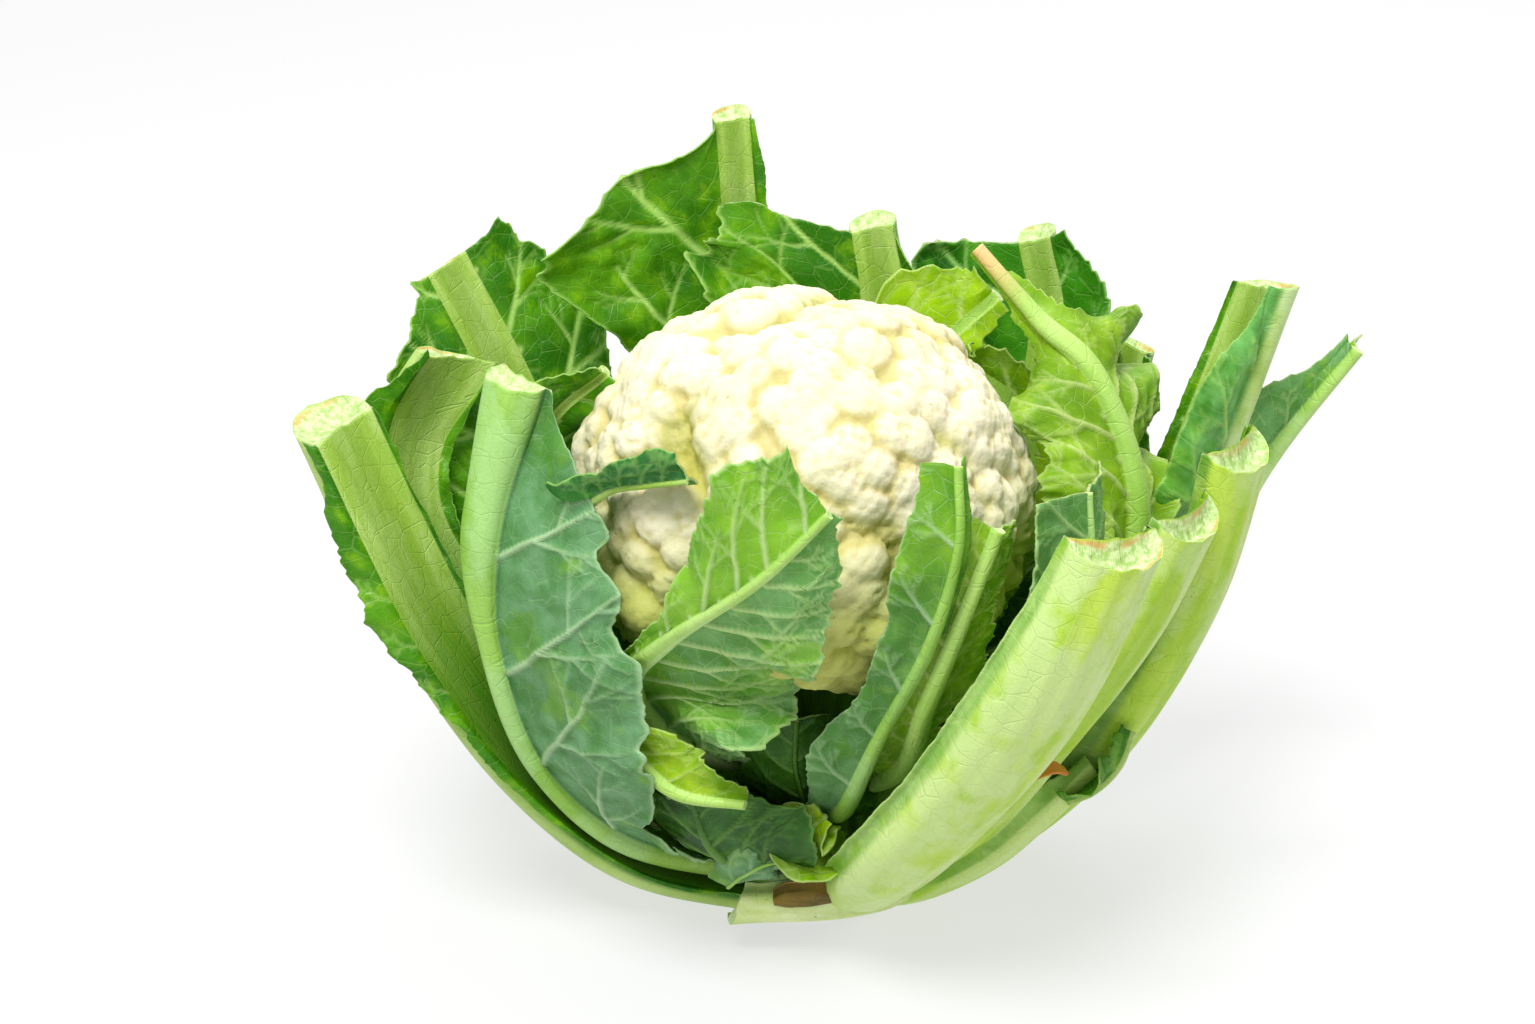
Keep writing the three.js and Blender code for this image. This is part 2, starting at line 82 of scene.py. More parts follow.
LEAVES = {
    "leaf_front_right": dict(
        path=[(8, -18, 22), (19, -42, 38), (37, -64, 72), (58, -78, 110), (75, -86, 147), (87, -87, 179)],
        facing=(122, 118), rib=(22, 38, 41, 32), depth=(10, 12, 10), left=(1, 2, 2, 2, 2, 1),
        right=(1, 3, 3, 3, 2, 1), curl=((30, 90), (10, 30)), lift=(0.1, 0.1), look="pale", bloom=even(0.9),
        ruffle=(14, 40), fray=(0.1, 0.4), cut=(-0.15, 5, -0.3)),
    "leaf_outer_left": dict(
        path=[(-16, -2, 14), (-58, -10, 30), (-90, -16, 64), (-116, -17, 106), (-134, -12, 144),
              (-149, -4, 177)],
        facing=(-20, -45), rib=(34, 30, 28, 25), depth=(10, 11, 12), left=(1, 1, 2, 6, 8, 2),
        right=(2, 3, 4, 3, 2, 1), curl=((-50, -60), (20, 40)), look="green", bloom=even(0.2),
        ruffle=(25, 30), fray=(0.3, 1), cut=(0.1, 3, 0.7), veins=(18, 1)),
    "leaf_front_left": dict(
        path=[(-14, -9, 24), (-56, -22, 36), (-86, -31, 68), (-99, -35, 110), (-101, -32, 152),
              (-89, -20, 201)],
        facing=(50, 46), rib=(16, 8, 6, 6, 13, 20), depth=(8, 5, 3.5, 4, 7, 9), left=(4, 30, 50, 56, 40, 2),
        right=(2, 4, 5, 4, 2, 1), curl=((-5, 18), (0, 0)), lift=(0.1, 0.1), look="waxy",
        bloom=((1, 1), (0.8, 0.8)), ruffle=(12, 60), fray=(0.08, 0.6), cut=(0.1, 3, -0.3), veins=(42, 1.8),
        tears=((-1, 0.17, 0.7, 6), (-1, 0.27, 0.3, 5))),
    "leaf_front_small": dict(
        path=[(-12, -16, 60), (-42, -38, 84), (-56, -52, 112), (-44, -72, 137), (-17, -89, 165),
              (4, -93, 189)],
        facing=(55, 95), rib=(10, 7, 6, 3, 2), depth=(4, 3, 2, 1.5), left=(4, 16, 34, 44, 44, 36, 22, 6),
        right=(2, 2, 2, 2, 2, 2, 4, 13, 25, 31, 24), curl=((-22, 2), (5, 15)), lift=(0.2, 0.3), look="fresh",
        bloom=((0.9, 0.9), (0.1, 0.1)), ruffle=(24, 34), fray=(0.1, 1.6), veins=(15, 1.6)),
    "leaf_front_middle": dict(
        path=[(5, -18, 50), (10, -48, 64), (20, -67, 100), (34, -80, 138), (42, -84, 172), (42, -78, 196)],
        facing=(115, 95), rib=(8, 4, 2), depth=(3, 2, 1.2), left=(2, 3, 4, 4, 4, 2),
        right=(2, 8, 16, 10, 13, 17, 10), curl=((0, 20), (5, 20)), lift=(0.1, 0.1), look="waxy",
        bloom=((0.9, 0), (1, 0)), ruffle=(12, 50), fray=(0.08, 0.5), veins=(26, 1.4)),
    "leaf_left": dict(
        path=[(-18, 7, 20), (-70, 16, 48), (-108, 22, 92), (-130, 30, 126), (-132, 42, 152),
              (-116, 50, 178)],
        facing=(-10, -50), rib=(30, 26, 22, 24), depth=(10, 11, 12), left=(2, 4, 6, 20, 16, 2),
        right=(2, 6, 9, 6, 3, 1), curl=((-10, -20), (20, 60)), look="green", bloom=even(0.9),
        ruffle=(22, 30), fray=(0.25, 1), cut=(0.35, 2, -0.2), veins=(18, 1.4)),
    "leaf_rear_left": dict(
        path=[(-12, 12, 28), (-52, 44, 50), (-84, 66, 102), (-101, 78, 152), (-124, 88, 198)],
        facing=(-45, -45), rib=(28, 24, 19), depth=(10, 9, 9), left=(2, 6, 14, 34, 36, 8),
        right=(2, 8, 22, 34, 34, 14), curl=((0, 0), (15, 25)), look="green", bloom=even(0.6),
        ruffle=(26, 36), fray=(0.2, 1.0), cut=(0.1, 2, -0.1), veins=(30, 2.6)),
    "leaf_tall_back": dict(
        path=[(-4, 17, 30), (-14, 58, 62), (-20, 88, 120), (-22, 98, 186), (-24, 102, 216), (-26, 105, 244)],
        facing=(-88, -86), rib=(26, 20, 13, 12), depth=(9, 7, 6),
        left=(2, 4, 8, 12, 16, 20, 24, 44, 72, 44, 2), right=(2, 6, 10, 12, 12, 10, 8, 6, 5, 4, 2),
        curl=((5, 12), (5, 10)), lift=(0.1, 0.1), look="green", bloom=even(0.6), ruffle=(22, 40),
        fray=(0.1, 0.8), cut=(0.1, 2, 0.5), veins=(36, 3.2)),
    "leaf_young_right": dict(
        path=[(15, 6, 48), (56, 8, 62), (92, -2, 108), (103, 0, 147), (90, 14, 186), (70, 26, 205),
              (53, 34, 223)],
        facing=(165, 135), rib=(16, 13, 10, 7, 3), depth=(6, 5, 3), left=(2, 3, 4, 6, 16, 32, 30, 6, 1),
        right=(2, 6, 12, 22, 30, 32, 28, 4, 1), curl=((0, 20), (0, 25)), lift=(0.3, 0.2), look="young",
        bloom=((0.35, 0.35), (0.2, 0.2)), ruffle=(56, 22), fray=(0.16, 2), veins=(18, 1.8), dry=0.9),
    "leaf_right_bottom": dict(
        path=[(13, -12, 12), (36, -24, 21), (58, -26, 33), (76, -25, 49), (92, -22, 64)], facing=(150, 150),
        rib=(22, 22, 14), depth=(4, 3, 3), left=(2, 6, 8, 6, 2), curl=((20, 60), (20, 60)), look="pale",
        bloom=even(0.7), ruffle=(30, 24), fray=(0.4, 1), cut=(0.2, 2, 0)),
    "leaf_right": dict(
        path=[(18, 6, 20), (66, 22, 38), (104, 36, 84), (130, 44, 150), (149, 57, 202)], facing=(200, 196),
        rib=(30, 26, 26), depth=(10, 10, 9), left=(2, 4, 5, 4, 3, 1), right=(2, 12, 20, 24, 24, 4),
        curl=((20, 60), (20, 115)), look="green", bloom=even(0.9), ruffle=(10, 50), fray=(0.1, 0.8),
        cut=(0.15, 3, 0.4), veins=(30, 1.6)),
    "leaf_right_middle": dict(
        path=[(18, -3, 16), (58, -6, 32), (88, -8, 60), (107, -12, 92), (122, -15, 130), (132, -16, 178)],
        facing=(165, 142), rib=(28, 27, 29), depth=(9, 9, 8), left=(2, 5, 6, 5, 3, 1),
        curl=((20, 60), (20, 60)), look="pale", bloom=even(0.6), ruffle=(20, 30), fray=(0.3, 0.6),
        cut=(-0.1, 5, -0.5)),
    "leaf_right_lower": dict(
        path=[(16, -10, 24), (46, -27, 45), (74, -37, 86), (98, -46, 130), (114, -46, 168)],
        facing=(152, 140), rib=(28, 27, 29), depth=(9, 8, 7), left=(2, 5, 6, 5, 3, 1),
        curl=((20, 60), (20, 60)), look="pale", bloom=even(0.6), ruffle=(20, 30), fray=(0.3, 0.6),
        cut=(-0.2, 5, -0.5)),
    "leaf_back_right": dict(
        path=[(4, 17, 34), (16, 56, 62), (26, 82, 122), (26, 88, 180), (22, 93, 209)], facing=(-90, -96),
        rib=(26, 20, 15), depth=(9, 8, 7), left=(2, 18, 40, 50, 52, 44), right=(2, 10, 14, 16, 12, 2),
        curl=((5, 12), (5, 50)), lift=(0.55, 0.1), look="green", bloom=even(0.9), ruffle=(30, 36),
        fray=(0.14, 1.0), cut=(0.1, 2, 0.5), veins=(28, 1.8)),
    "leaf_rear_right": dict(
        path=[(11, 14, 30), (46, 56, 48), (74, 86, 110), (84, 100, 168), (79, 106, 200)],
        facing=(-122, -112), rib=(26, 18, 12), depth=(9, 8, 7), left=(2, 18, 30, 42, 48, 38),
        right=(2, 18, 26, 26, 24, 8), curl=((5, 20), (5, 20)), look="dark", bloom=even(0.8), ruffle=(32, 34),
        fray=(0.16, 1.2), cut=(0.1, 2, 0.5), veins=(28, 1.8)),
    "leaf_young_top": dict(
        path=[(11, 9, 52), (50, 34, 82), (72, 44, 126), (70, 46, 160), (46, 52, 180), (62, 52, 200)],
        facing=(-150, -105), rib=(18, 12, 8, 4), depth=(6, 3, 2.5), left=(2, 4, 6, 8, 10, 24, 32, 26, 10),
        right=(2, 3, 4, 6, 8, 10, 12, 10, 5), curl=((0, 25), (10, 20)), lift=(0.1, 0.1), look="young",
        bloom=even(0.1), ruffle=(24, 28), fray=(0.1, 2.0), veins=(20, 1.6)),
    "leaf_outer_right": dict(
        path=[(18, 11, 14), (74, 40, 28), (122, 56, 76), (152, 62, 132), (184, 62, 178)], facing=(200, 125),
        rib=(26, 15, 3), depth=(9, 7, 3), left=(2, 12, 20, 27, 25, 3), right=(2, 12, 20, 27, 23, 3),
        curl=((10, 30), (10, 30)), look="fresh", bloom=even(1), ruffle=(22, 44), fray=(0.12, 1),
        veins=(26, 1.2)),
    "leaf_inner_right": dict(
        path=[(15, -10, 50), (48, -36, 76), (72, -54, 120), (82, -62, 156), (82, -60, 180)],
        facing=(140, 140), rib=(16, 6, 1.2), depth=(6, 3, 1), left=(2, 8, 16, 22, 24, 22),
        right=(2, 8, 14, 22, 25, 23), curl=((10, 30), (0, 10)), lift=(0.1, 0.1), look="fresh", bloom=even(1),
        ruffle=(10, 40), fray=(0.05, 0.6), veins=(22, 1.2)),
    "leaf_young_front": dict(
        path=[(11, -16, 56), (28, -52, 82), (34, -71, 114), (44, -76, 146), (54, -73, 174)],
        facing=(120, 110), rib=(9, 6, 4), depth=(5, 3, 2), left=(2, 6, 9, 12, 12, 8),
        right=(2, 5, 7, 9, 9, 6), curl=((0, 20), (0, 20)), look="young", bloom=even(0.2), ruffle=(24, 26),
        fray=(0.4, 2.4), veins=(14, 1.2)),
    "leaf_front_low": dict(
        path=[(-10, -17, 44), (-44, -38, 70), (-57, -56, 90), (-42, -66, 80), (-20, -72, 79)],
        facing=(60, 90), rib=(10, 6, 5, 2), depth=(4, 3, 2), left=(1, 2, 2, 2, 2, 1),
        right=(2, 4, 8, 14, 14, 2), curl=((0, 20), (10, 20)), look="young", bloom=((0.3, 0.3), (0.1, 0.1)),
        ruffle=(20, 24), fray=(0.12, 1.4), veins=(12, 1.2)),
    # Coloured as painted shade: this leaf lies in the dark gap low at the front.
    "leaf_front_bottom": dict(
        path=[(-6, -19, 26), (-20, -38, 34), (-32, -50, 50), (-38, -58, 72)], facing=(60, 80), rib=(8, 3, 1),
        depth=(2, 1, 0.6), left=(4, 24, 34, 30, 8), right=(4, 20, 30, 28, 8), curl=((5, 35), (5, 35)),
        look="deep", bloom=((0.1, 0.5), (0.1, 0.5)), ruffle=(24, 26), fray=(0.16, 1.2), veins=(14, 1.2)),
    "leaf_stub": dict(
        path=[(24, -8, 20), (30, -26, 22), (8, -37, 22), (-25, -37, 19)], facing=(100, 90),
        rib=(16, 18, 15, 13), depth=(4, 4, 3), left=(1, 2, 2, 1), right=(1, 3, 3, 1),
        curl=((0, 10), (0, 10)), lift=(0, 0), look="cream", bloom=even(0.3), ruffle=(20, 30),
        fray=(0.2, 0.4), cut=(0.5, 0, 0)),
    "leaf_inner_left": dict(
        path=[(-14, 3, 58), (-46, 10, 72), (-80, 14, 106), (-90, 14, 142), (-84, 10, 172), (-66, 8, 190)],
        facing=(-15, -60), rib=(16, 12, 6, 3), depth=(5, 4, 2.5), left=(2, 10, 18, 22, 20, 6),
        right=(2, 10, 18, 24, 22, 6), curl=((5, 25), (5, 25)), lift=(0.2, 0.2), look="green",
        bloom=even(0.6), ruffle=(24, 30), fray=(0.12, 1.2), veins=(22, 1.6)),
    "leaf_inner_back_left": dict(
        path=[(-7, 14, 58), (-26, 42, 72), (-42, 66, 106), (-46, 72, 140), (-42, 70, 168)],
        facing=(-60, -62), rib=(16, 12, 5), depth=(5, 4, 2.5), left=(2, 10, 18, 22, 18, 5),
        curl=((5, 30), (5, 30)), lift=(0.2, 0.2), look="young", bloom=even(0.4), ruffle=(24, 30),
        fray=(0.12, 1.4), veins=(16, 1.4)),
    "leaf_inner_back_right": dict(
        path=[(5, 14, 60), (14, 46, 74), (22, 72, 106), (24, 79, 140), (20, 76, 166)], facing=(-105, -108),
        rib=(16, 12, 5), depth=(5, 4, 2.5), left=(2, 10, 18, 22, 18, 5), curl=((5, 30), (5, 30)),
        lift=(0.2, 0.2), look="young", bloom=even(0.4), ruffle=(24, 30), fray=(0.12, 1.4), veins=(16, 1.4)),
    "leaf_hidden_left": dict(
        path=[(-5, 18, 14), (-22, 64, 32), (-36, 104, 68), (-42, 124, 115), (-44, 134, 165)],
        facing=(-80, -80), rib=(34, 28, 24), depth=(10, 11, 11), left=(2, 8, 12, 12, 8, 2),
        curl=((10, 40), (10, 40)), look="green", bloom=even(0.9), ruffle=(22, 34), fray=(0.2, 1.2),
        cut=(0.1, 4, 0), veins=(24, 1.6)),
    "leaf_hidden_right": dict(
        path=[(11, 15, 16), (46, 52, 36), (78, 72, 74), (98, 78, 112), (106, 80, 142), (112, 82, 170)],
        facing=(-140, -130), rib=(32, 22, 12), depth=(10, 8, 6), left=(2, 8, 10, 8, 10, 12, 4),
        right=(2, 8, 10, 8, 12, 16, 6), curl=((10, 40), (10, 40)), look="green", bloom=even(0.9),
        ruffle=(22, 34), fray=(0.2, 1.2), cut=(-0.1, 4, 0), veins=(24, 1.6)),
}

# Small pieces with no solid in the frame: a dark inner leaf that is painted shade in a gap, and torn lobes
# and frills on other leaves.
SCRAPS = {
    "tip_of_front_left": dict(
        path=[(-72, -44, 168), (-62, -52, 178), (-50, -61, 184), (-38, -67, 188)], facing=(100, 120),
        rib=(3, 2, 1), depth=(1.5, 1, 1), left=(12, 8, 6, 10, 13, 8), right=(14, 12, 8, 11, 12, 8),
        curl=((0, 50), (0, 40)), lift=(0, 0), look="dark", bloom=((0.6, 0.6), (0.3, 0.3)), ruffle=(20, 18),
        fray=(0.15, 0.5), veins=(8, 0.8)),
    # A dark leaf as painted shade: it fills the gap between the stem and the front leaves with the colour of
    # shadow.
    "painted_shade_leaf_in_gap": dict(
        path=[(4, -22, 40), (0, -40, 56), (-5, -50, 78), (-5, -54, 98)], facing=(90, 95), rib=(2, 1, 1),
        depth=(0.5, 0.4, 0.3), left=(6, 22, 28, 24, 12), right=(6, 20, 26, 22, 10), curl=((0, 40), (0, 40)),
        lift=(0.1, 0.1), look="deep", bloom=((0, 0.2), (0, 0.2)), ruffle=(20, 20), fray=(0.15, 0.8),
        veins=(12, 1)),
    "dried_scar_at_foot": dict(
        path=[(12, -43, 29), (1, -44, 28), (-12, -44, 26)], facing=(80, 90), rib=(2, 8, 9, 7, 2),
        depth=(1.5, 1.5, 1), left=(0.5, 1, 1), curl=((0, 10), (0, 10)), lift=(0, 0), look="dried",
        bloom=even(0), ruffle=(20, 12), fray=(0.3, 0.5)),
    "flap_at_foot": dict(
        path=[(-27, -42, 30), (-22, -48, 38), (-13, -50, 44), (-3, -48, 42)], facing=(80, 90), rib=(1, 1, 1),
        depth=(0.3, 0.3, 0.2), left=(7, 12, 15, 13, 6), right=(6, 9, 10, 8, 4), curl=((0, 40), (0, 40)),
        lift=(0, 0), look="waxy", bloom=even(1), ruffle=(24, 12), fray=(0.15, 0.8), veins=(8, 0.8)),
    "curl_at_foot": dict(
        path=[(12, -38, 40), (3, -46, 45), (-2, -50, 53), (4, -52, 61)], facing=(-80, -110), rib=(2, 1, 1),
        depth=(0.4, 0.3, 0.2), left=(6, 12, 14, 12, 5), right=(6, 10, 12, 10, 4), curl=((10, 60), (10, 60)),
        lift=(0, 0), look="young", bloom=even(0.2), ruffle=(20, 14), fray=(0.12, 0.8), veins=(8, 0.9)),
    "dried_bit_at_right": dict(
        path=[(66, -66, 82), (70, -66, 85), (76, -64, 86), (80, -62, 84)], facing=(90, 100), rib=(1, 1, 1),
        depth=(0.3, 0.3, 0.3), left=(1, 3, 4, 2), right=(1, 3, 3, 2), curl=((0, 60), (0, 60)), lift=(0, 0),
        look="rust", bloom=even(0), ruffle=(50, 6), fray=(0.5, 1)),
    "frill_at_right": dict(
        path=[(84, -30, 56), (92, -33, 62), (99, -32, 70), (103, -28, 80)], facing=(150, 170), rib=(3, 2, 1),
        depth=(1, 1, 1), left=(4, 9, 8, 6, 3), right=(4, 8, 10, 7, 3), curl=((0, 60), (0, 60)),
        lift=(0.1, 0.1), look="green", bloom=even(0.1), ruffle=(50, 9), fray=(0.4, 2.5), veins=(7, 0.8)),
}


# ---- number helpers ----


def eased(values, t):
    """The value at t from 0 to 1 of a list spaced evenly, eased between its entries."""
    values = np.asarray(values, float)
    place = t * (len(values) - 1)
    index = np.minimum(place.astype(int), len(values) - 2)
    share = place - index
    share = share * share * (3 - 2 * share)
    return values[index] * (1 - share) + values[index + 1] * share


def wander(x, seed):
    """A smooth random line through x, from -1 to 1, that turns about once for each unit of x."""
    lattice = np.random.default_rng(seed).uniform(-1, 1, 256)
    index = np.floor(x).astype(int)
    share = x - index
    share = share * share * (3 - 2 * share)
    return lattice[index % 256] * (1 - share) + lattice[(index + 1) % 256] * share


def wander_2d(x, y, seed):
    """A smooth random surface over x and y, from -1 to 1, with features about a unit across."""
    lattice = np.random.default_rng(seed).uniform(-1, 1, (64, 64))
    i, j = np.floor(x).astype(int), np.floor(y).astype(int)
    u, v = x - i, y - j
    u, v = u * u * (3 - 2 * u), v * v * (3 - 2 * v)
    low = lattice[i % 64, j % 64] * (1 - u) + lattice[(i + 1) % 64, j % 64] * u
    high = lattice[i % 64, (j + 1) % 64] * (1 - u) + lattice[(i + 1) % 64, (j + 1) % 64] * u
    return low * (1 - v) + high * v


def unit(vectors):
    return vectors / np.maximum(np.linalg.norm(vectors, axis=-1, keepdims=True), 1e-9)


def catmull_rom(points, s):
    """A smooth curve through the points, at s from 0 to 1."""
    points = np.asarray(points, float)
    ends = 2 * points[[0, -1]] - points[[1, -2]]
    run = np.vstack([ends[:1], points, ends[1:]])
    place = s * (len(points) - 1)
    i = np.minimum(place.astype(int), len(points) - 2)
    f = (place - i)[:, None]
    a, b, c, d = run[i], run[i + 1], run[i + 2], run[i + 3]
    return 0.5 * (2 * b + (c - a) * f + (2 * a - 5 * b + 4 * c - d) * f**2 + (3 * b - 3 * c + d - a) * f**3)


def midline(path, t):
    """Points at shares t of a path's length, and that length."""
    fine = catmull_rom(path, np.linspace(0, 1, 400))
    travelled = np.concatenate([[0], np.cumsum(np.linalg.norm(np.diff(fine, axis=0), axis=1))])
    wanted = t * travelled[-1]
    return np.stack([np.interp(wanted, travelled, fine[:, axis]) for axis in range(3)], 1), travelled[-1]


# ---- mesh helpers ----


def make_piece(name, points, faces, attributes, flat_faces=None):
    """A mesh object from points in millimetres, with point attributes and smooth faces."""
    mesh = bpy.data.meshes.new(name)
    faces = np.asarray(faces, np.int32)
    mesh.vertices.add(len(points))
    mesh.vertices.foreach_set("co", (np.asarray(points) * MM).ravel())
    mesh.loops.add(faces.size)
    mesh.loops.foreach_set("vertex_index", faces.ravel())
    mesh.polygons.add(len(faces))
    mesh.polygons.foreach_set("loop_start", np.arange(0, faces.size, faces.shape[1], dtype=np.int32))
    smooth = np.ones(len(faces), bool)
    if flat_faces is not None:
        smooth[flat_faces] = False
    mesh.polygons.foreach_set("use_smooth", smooth)
    for label, values in attributes.items():
        kind = "FLOAT_VECTOR" if np.ndim(values) == 2 else "FLOAT"
        key = "vector" if np.ndim(values) == 2 else "value"
        mesh.attributes.new(label, kind, "POINT").data.foreach_set(key, np.asarray(values, float).ravel())
    mesh.update(calc_edges=True)
    mesh.validate()
    piece = bpy.data.objects.new(name, mesh)
    bpy.context.scene.collection.objects.link(piece)
    return piece


# ---- veins ----


def vein_lines(length, left, right, spacing, thickness, seed):
    """Side veins and their branches on a flat leaf: rows of start, end and width at each end, mm.

    A place on the flat leaf is (distance across from the rib's edge, distance along); left is negative.
    """
    rng = np.random.default_rng(seed)
    rows = []

    def grow(side, start, angle, reach, width, level):
        """One vein that bends towards the tip and gives off branches."""
        steps = 10
        place = np.array(start, float)
        for k in range(steps):
            heading = angle - math.radians(20) * k / steps + rng.normal(0, 0.07)
            move = np.array([side * math.sin(heading), math.cos(heading)]) * reach / steps
            thick = width * (1 - 0.75 * k / steps)
            rows.append((*place, *(place + move), thick, thick - 0.75 * width / steps))
            place = place + move
            if level < 2 and k in ((2, 4, 6, 8), (3, 6))[level]:
                lean = math.radians(rng.uniform(34, 56)) * (1 if k % 4 else -1)
                grow(side, place, heading + lean, reach * (0.6 - 0.045 * k), thick * 0.6, level + 1)

    for side, widths in ((-1, left), (1, right)):
        along = spacing * (0.5 if side < 0 else 0.85)
        while along < length * 0.97:
            width = float(eased(widths, np.array([min(1, along / length + 0.06)]))[0])
            if width > 6:
                angle = math.radians(rng.uniform(50, 62))
                grow(side, (0, along), angle, width * 1.3, thickness * min(1, 0.4 + width / 50), 0)
            along += spacing * rng.uniform(0.8, 1.15)
    return np.array(rows) if rows else np.zeros((0, 6))


def vein_strength(across, along, rows):
    """How near each place is to a vein: 1 on its middle, 0 past its edge. And the distance, mm."""
    strength = np.zeros(across.shape)
    nearest = np.full(across.shape, NO_VEIN)
    for x0, y0, x1, y1, w0, w1 in rows:
        dx, dy = x1 - x0, y1 - y0
        near = (np.abs(across - (x0 + x1) / 2) < 14) & (np.abs(along - (y0 + y1) / 2) < 14)
        px, py = across[near] - x0, along[near] - y0
        share = np.clip((px * dx + py * dy) / (dx * dx + dy * dy), 0, 1)
        gap = np.hypot(px - share * dx, py - share * dy)
        half = (w0 + (w1 - w0) * share) / 2
        mark = np.clip(1 - (gap / (half + 0.6)) ** 2, 0, 1) * np.clip(half / 0.55, 0.3, 1)
        strength[near] = np.maximum(strength[near], mark)
        nearest[near] = np.minimum(nearest[near], gap)
    return strength, nearest


# ---- the shape of a leaf ----

BLADE_THICKNESS = 1.1  # beside the rib, mm
EDGE_THINNING = 0.5  # how much thinner a blade is at its edge, mm
RIB_SWELL = 0.7  # how much thicker a rib is than its depth and the blade together, mm
VEIN_HEIGHT = 0.7  # how far a vein stands out of the outer face, mm
VEIN_GROOVE = 0.2  # how deep it lies in the inner face, mm
RIDGE = 0.3  # height of the fine ridges along a rib, mm
PUFF = 2.2  # how far a blade swells between its veins, mm
PUFF_REACH = 12  # distance from a vein at which it has swelled fully, mm
TOOTH_LENGTH = 5.5  # between the teeth of a blade's edge, mm
NARROWEST_BLADE = 0.6  # mm
NO_VEIN = 99.0  # distance to a vein where there is none near, mm
END_LAYERS = 6  # rows of faces across a cut end


def blade(side, spec, t, length, seed):
    """One blade of a leaf: arrays over (place along, place across) of its offsets from the rib's edge."""
    width = eased(spec["left" if side < 0 else "right"], t)
    curl = spec["curl"][side > 0]
    along = t * length
    ragged, teeth = spec["fray"]
    uneven = ragged * (wander(along / 15, seed) + 0.6 * wander(along / 6, seed + 1))
    saw = np.mod(along / TOOTH_LENGTH + 0.6 * wander(along / 9, seed + 2), 1)
    tooth = teeth * (saw**1.5 - 0.4) + 0.35 * wander(along / 1.7, seed + 6)
    width = width * (1 + uneven) + tooth * np.clip(width / 8, 0, 1)
    for torn, place, share, spread in spec["tears"]:
        if torn == side:
            width = width * (1 - share * np.clip(1 - np.abs(along - place * length) / spread, 0, 1))
    width = np.maximum(width, NARROWEST_BLADE)
    steps = max(4, int(width.max() / SPACING))
    q = np.linspace(0, 1, steps + 1)[None, 1:]
    wave, wavelength = spec["ruffle"]
    swing = wander(along / wavelength, seed + 3) + 0.7 * wander(along / wavelength * 2.3, seed + 4)
    slope = curl[0] + (curl[1] - curl[0]) * (q - 0.5 / steps) + wave * swing[:, None] * q**1.5 * 1.4
    slope = np.radians(slope)
    out = np.cumsum(np.cos(slope), axis=1) / steps * width[:, None]
    up = np.cumsum(np.sin(slope), axis=1) / steps * width[:, None]
    on = spec["lift"][side > 0] * width[:, None] * q * np.minimum(1, 3 * t)[:, None]
    return out, up, on, np.broadcast_to(q, out.shape), width


def leaf_axis(spec):
    """Even shares along a leaf, with its middle line, length, run, inward and sideways directions there."""
    count = int(midline(spec["path"], np.zeros(1))[1] / SPACING)
    t = np.linspace(0, 1, count + 1)
    spine, length = midline(spec["path"], t)
    tangent = unit(np.gradient(spine, axis=0))
    bearing = np.radians(spec["facing"][0] + (spec["facing"][1] - spec["facing"][0]) * t)
    tilt = np.radians(TILT[0] + (TILT[1] - TILT[0]) * t)
    normal = np.stack([np.cos(bearing) * np.cos(tilt), np.sin(bearing) * np.cos(tilt), np.sin(tilt)], 1)
    normal = unit(normal - (normal * tangent).sum(1, keepdims=True) * tangent)
    return t, spine, length, tangent, normal, np.cross(tangent, normal)


def leaf_strips(spec, t, length, seed):
    """Left blade, rib and right blade side by side: offsets from the middle line, and what each point is."""
    half_rib = eased(spec["rib"], t)[:, None] / 2
    out, rise, reach, q, width = blade(-1, spec, t, length, seed)
    left = [-half_rib - out, rise, reach, q, np.zeros_like(out), -q * width[:, None]]
    left = [part[:, ::-1] for part in left]
    rib_steps = max(8, int(2 * half_rib.max() / SPACING))
    r = np.broadcast_to(np.linspace(-1, 1, rib_steps + 1)[None], (len(t), rib_steps + 1))
    none = np.zeros_like(r)
    middle = [half_rib * r, -CHANNEL * half_rib * 2 * (1 - r**2), none, none, np.sqrt(1 - r**2), none]
    out, rise, reach, q, width = blade(1, spec, t, length, seed + 10)
    right = [half_rib + out, rise, reach, q, np.zeros_like(out), q * width[:, None]]
    return [np.hstack(parts) for parts in zip(left, middle, right)]


def leaf_grid(spec, seed):
    """The fine grid of a leaf's inner face and what each point of it is."""
    t, spine, length, tangent, normal, sideways = leaf_axis(spec)
    across, up, on, edge, rib, places = leaf_strips(spec, t, length, seed)
    slope, hollow, bevel = spec["cut"]
    wavy = 3.5 * edge * wander(across / 13 + 40, seed + 9) + 0.5 * wander(across / 3 + 40, seed + 9)
    on = on + (slope * across + wavy) * (t**8)[:, None]
    inner = spine[:, None] + across[..., None] * sideways[:, None] + up[..., None] * normal[:, None]
    inner = inner + on[..., None] * tangent[:, None]
    return dict(inner=inner, t=t, length=length, across=across, edge=edge, rib=rib, places=places,
                tangent=tangent, hollow=hollow, bevel=bevel)


def grid_normals(grid):
    """The direction that a leaf's inner face looks, at each point of its grid."""
    return unit(np.cross(np.gradient(grid, axis=1), np.gradient(grid, axis=0)))


def leaf_veins(g, spec, along, seed):
    """How much each point of a leaf is on a vein, from 0 to 1, and how far from one it is, mm."""
    spacing, thickness = spec["veins"]
    if not spacing:
        return np.zeros_like(along), np.full_like(along, NO_VEIN)
    lines = vein_lines(g["length"], spec["left"], spec["right"], spacing, thickness, seed)
    vein, gap = vein_strength(g["places"], along, lines)
    return vein * (g["rib"] == 0), gap


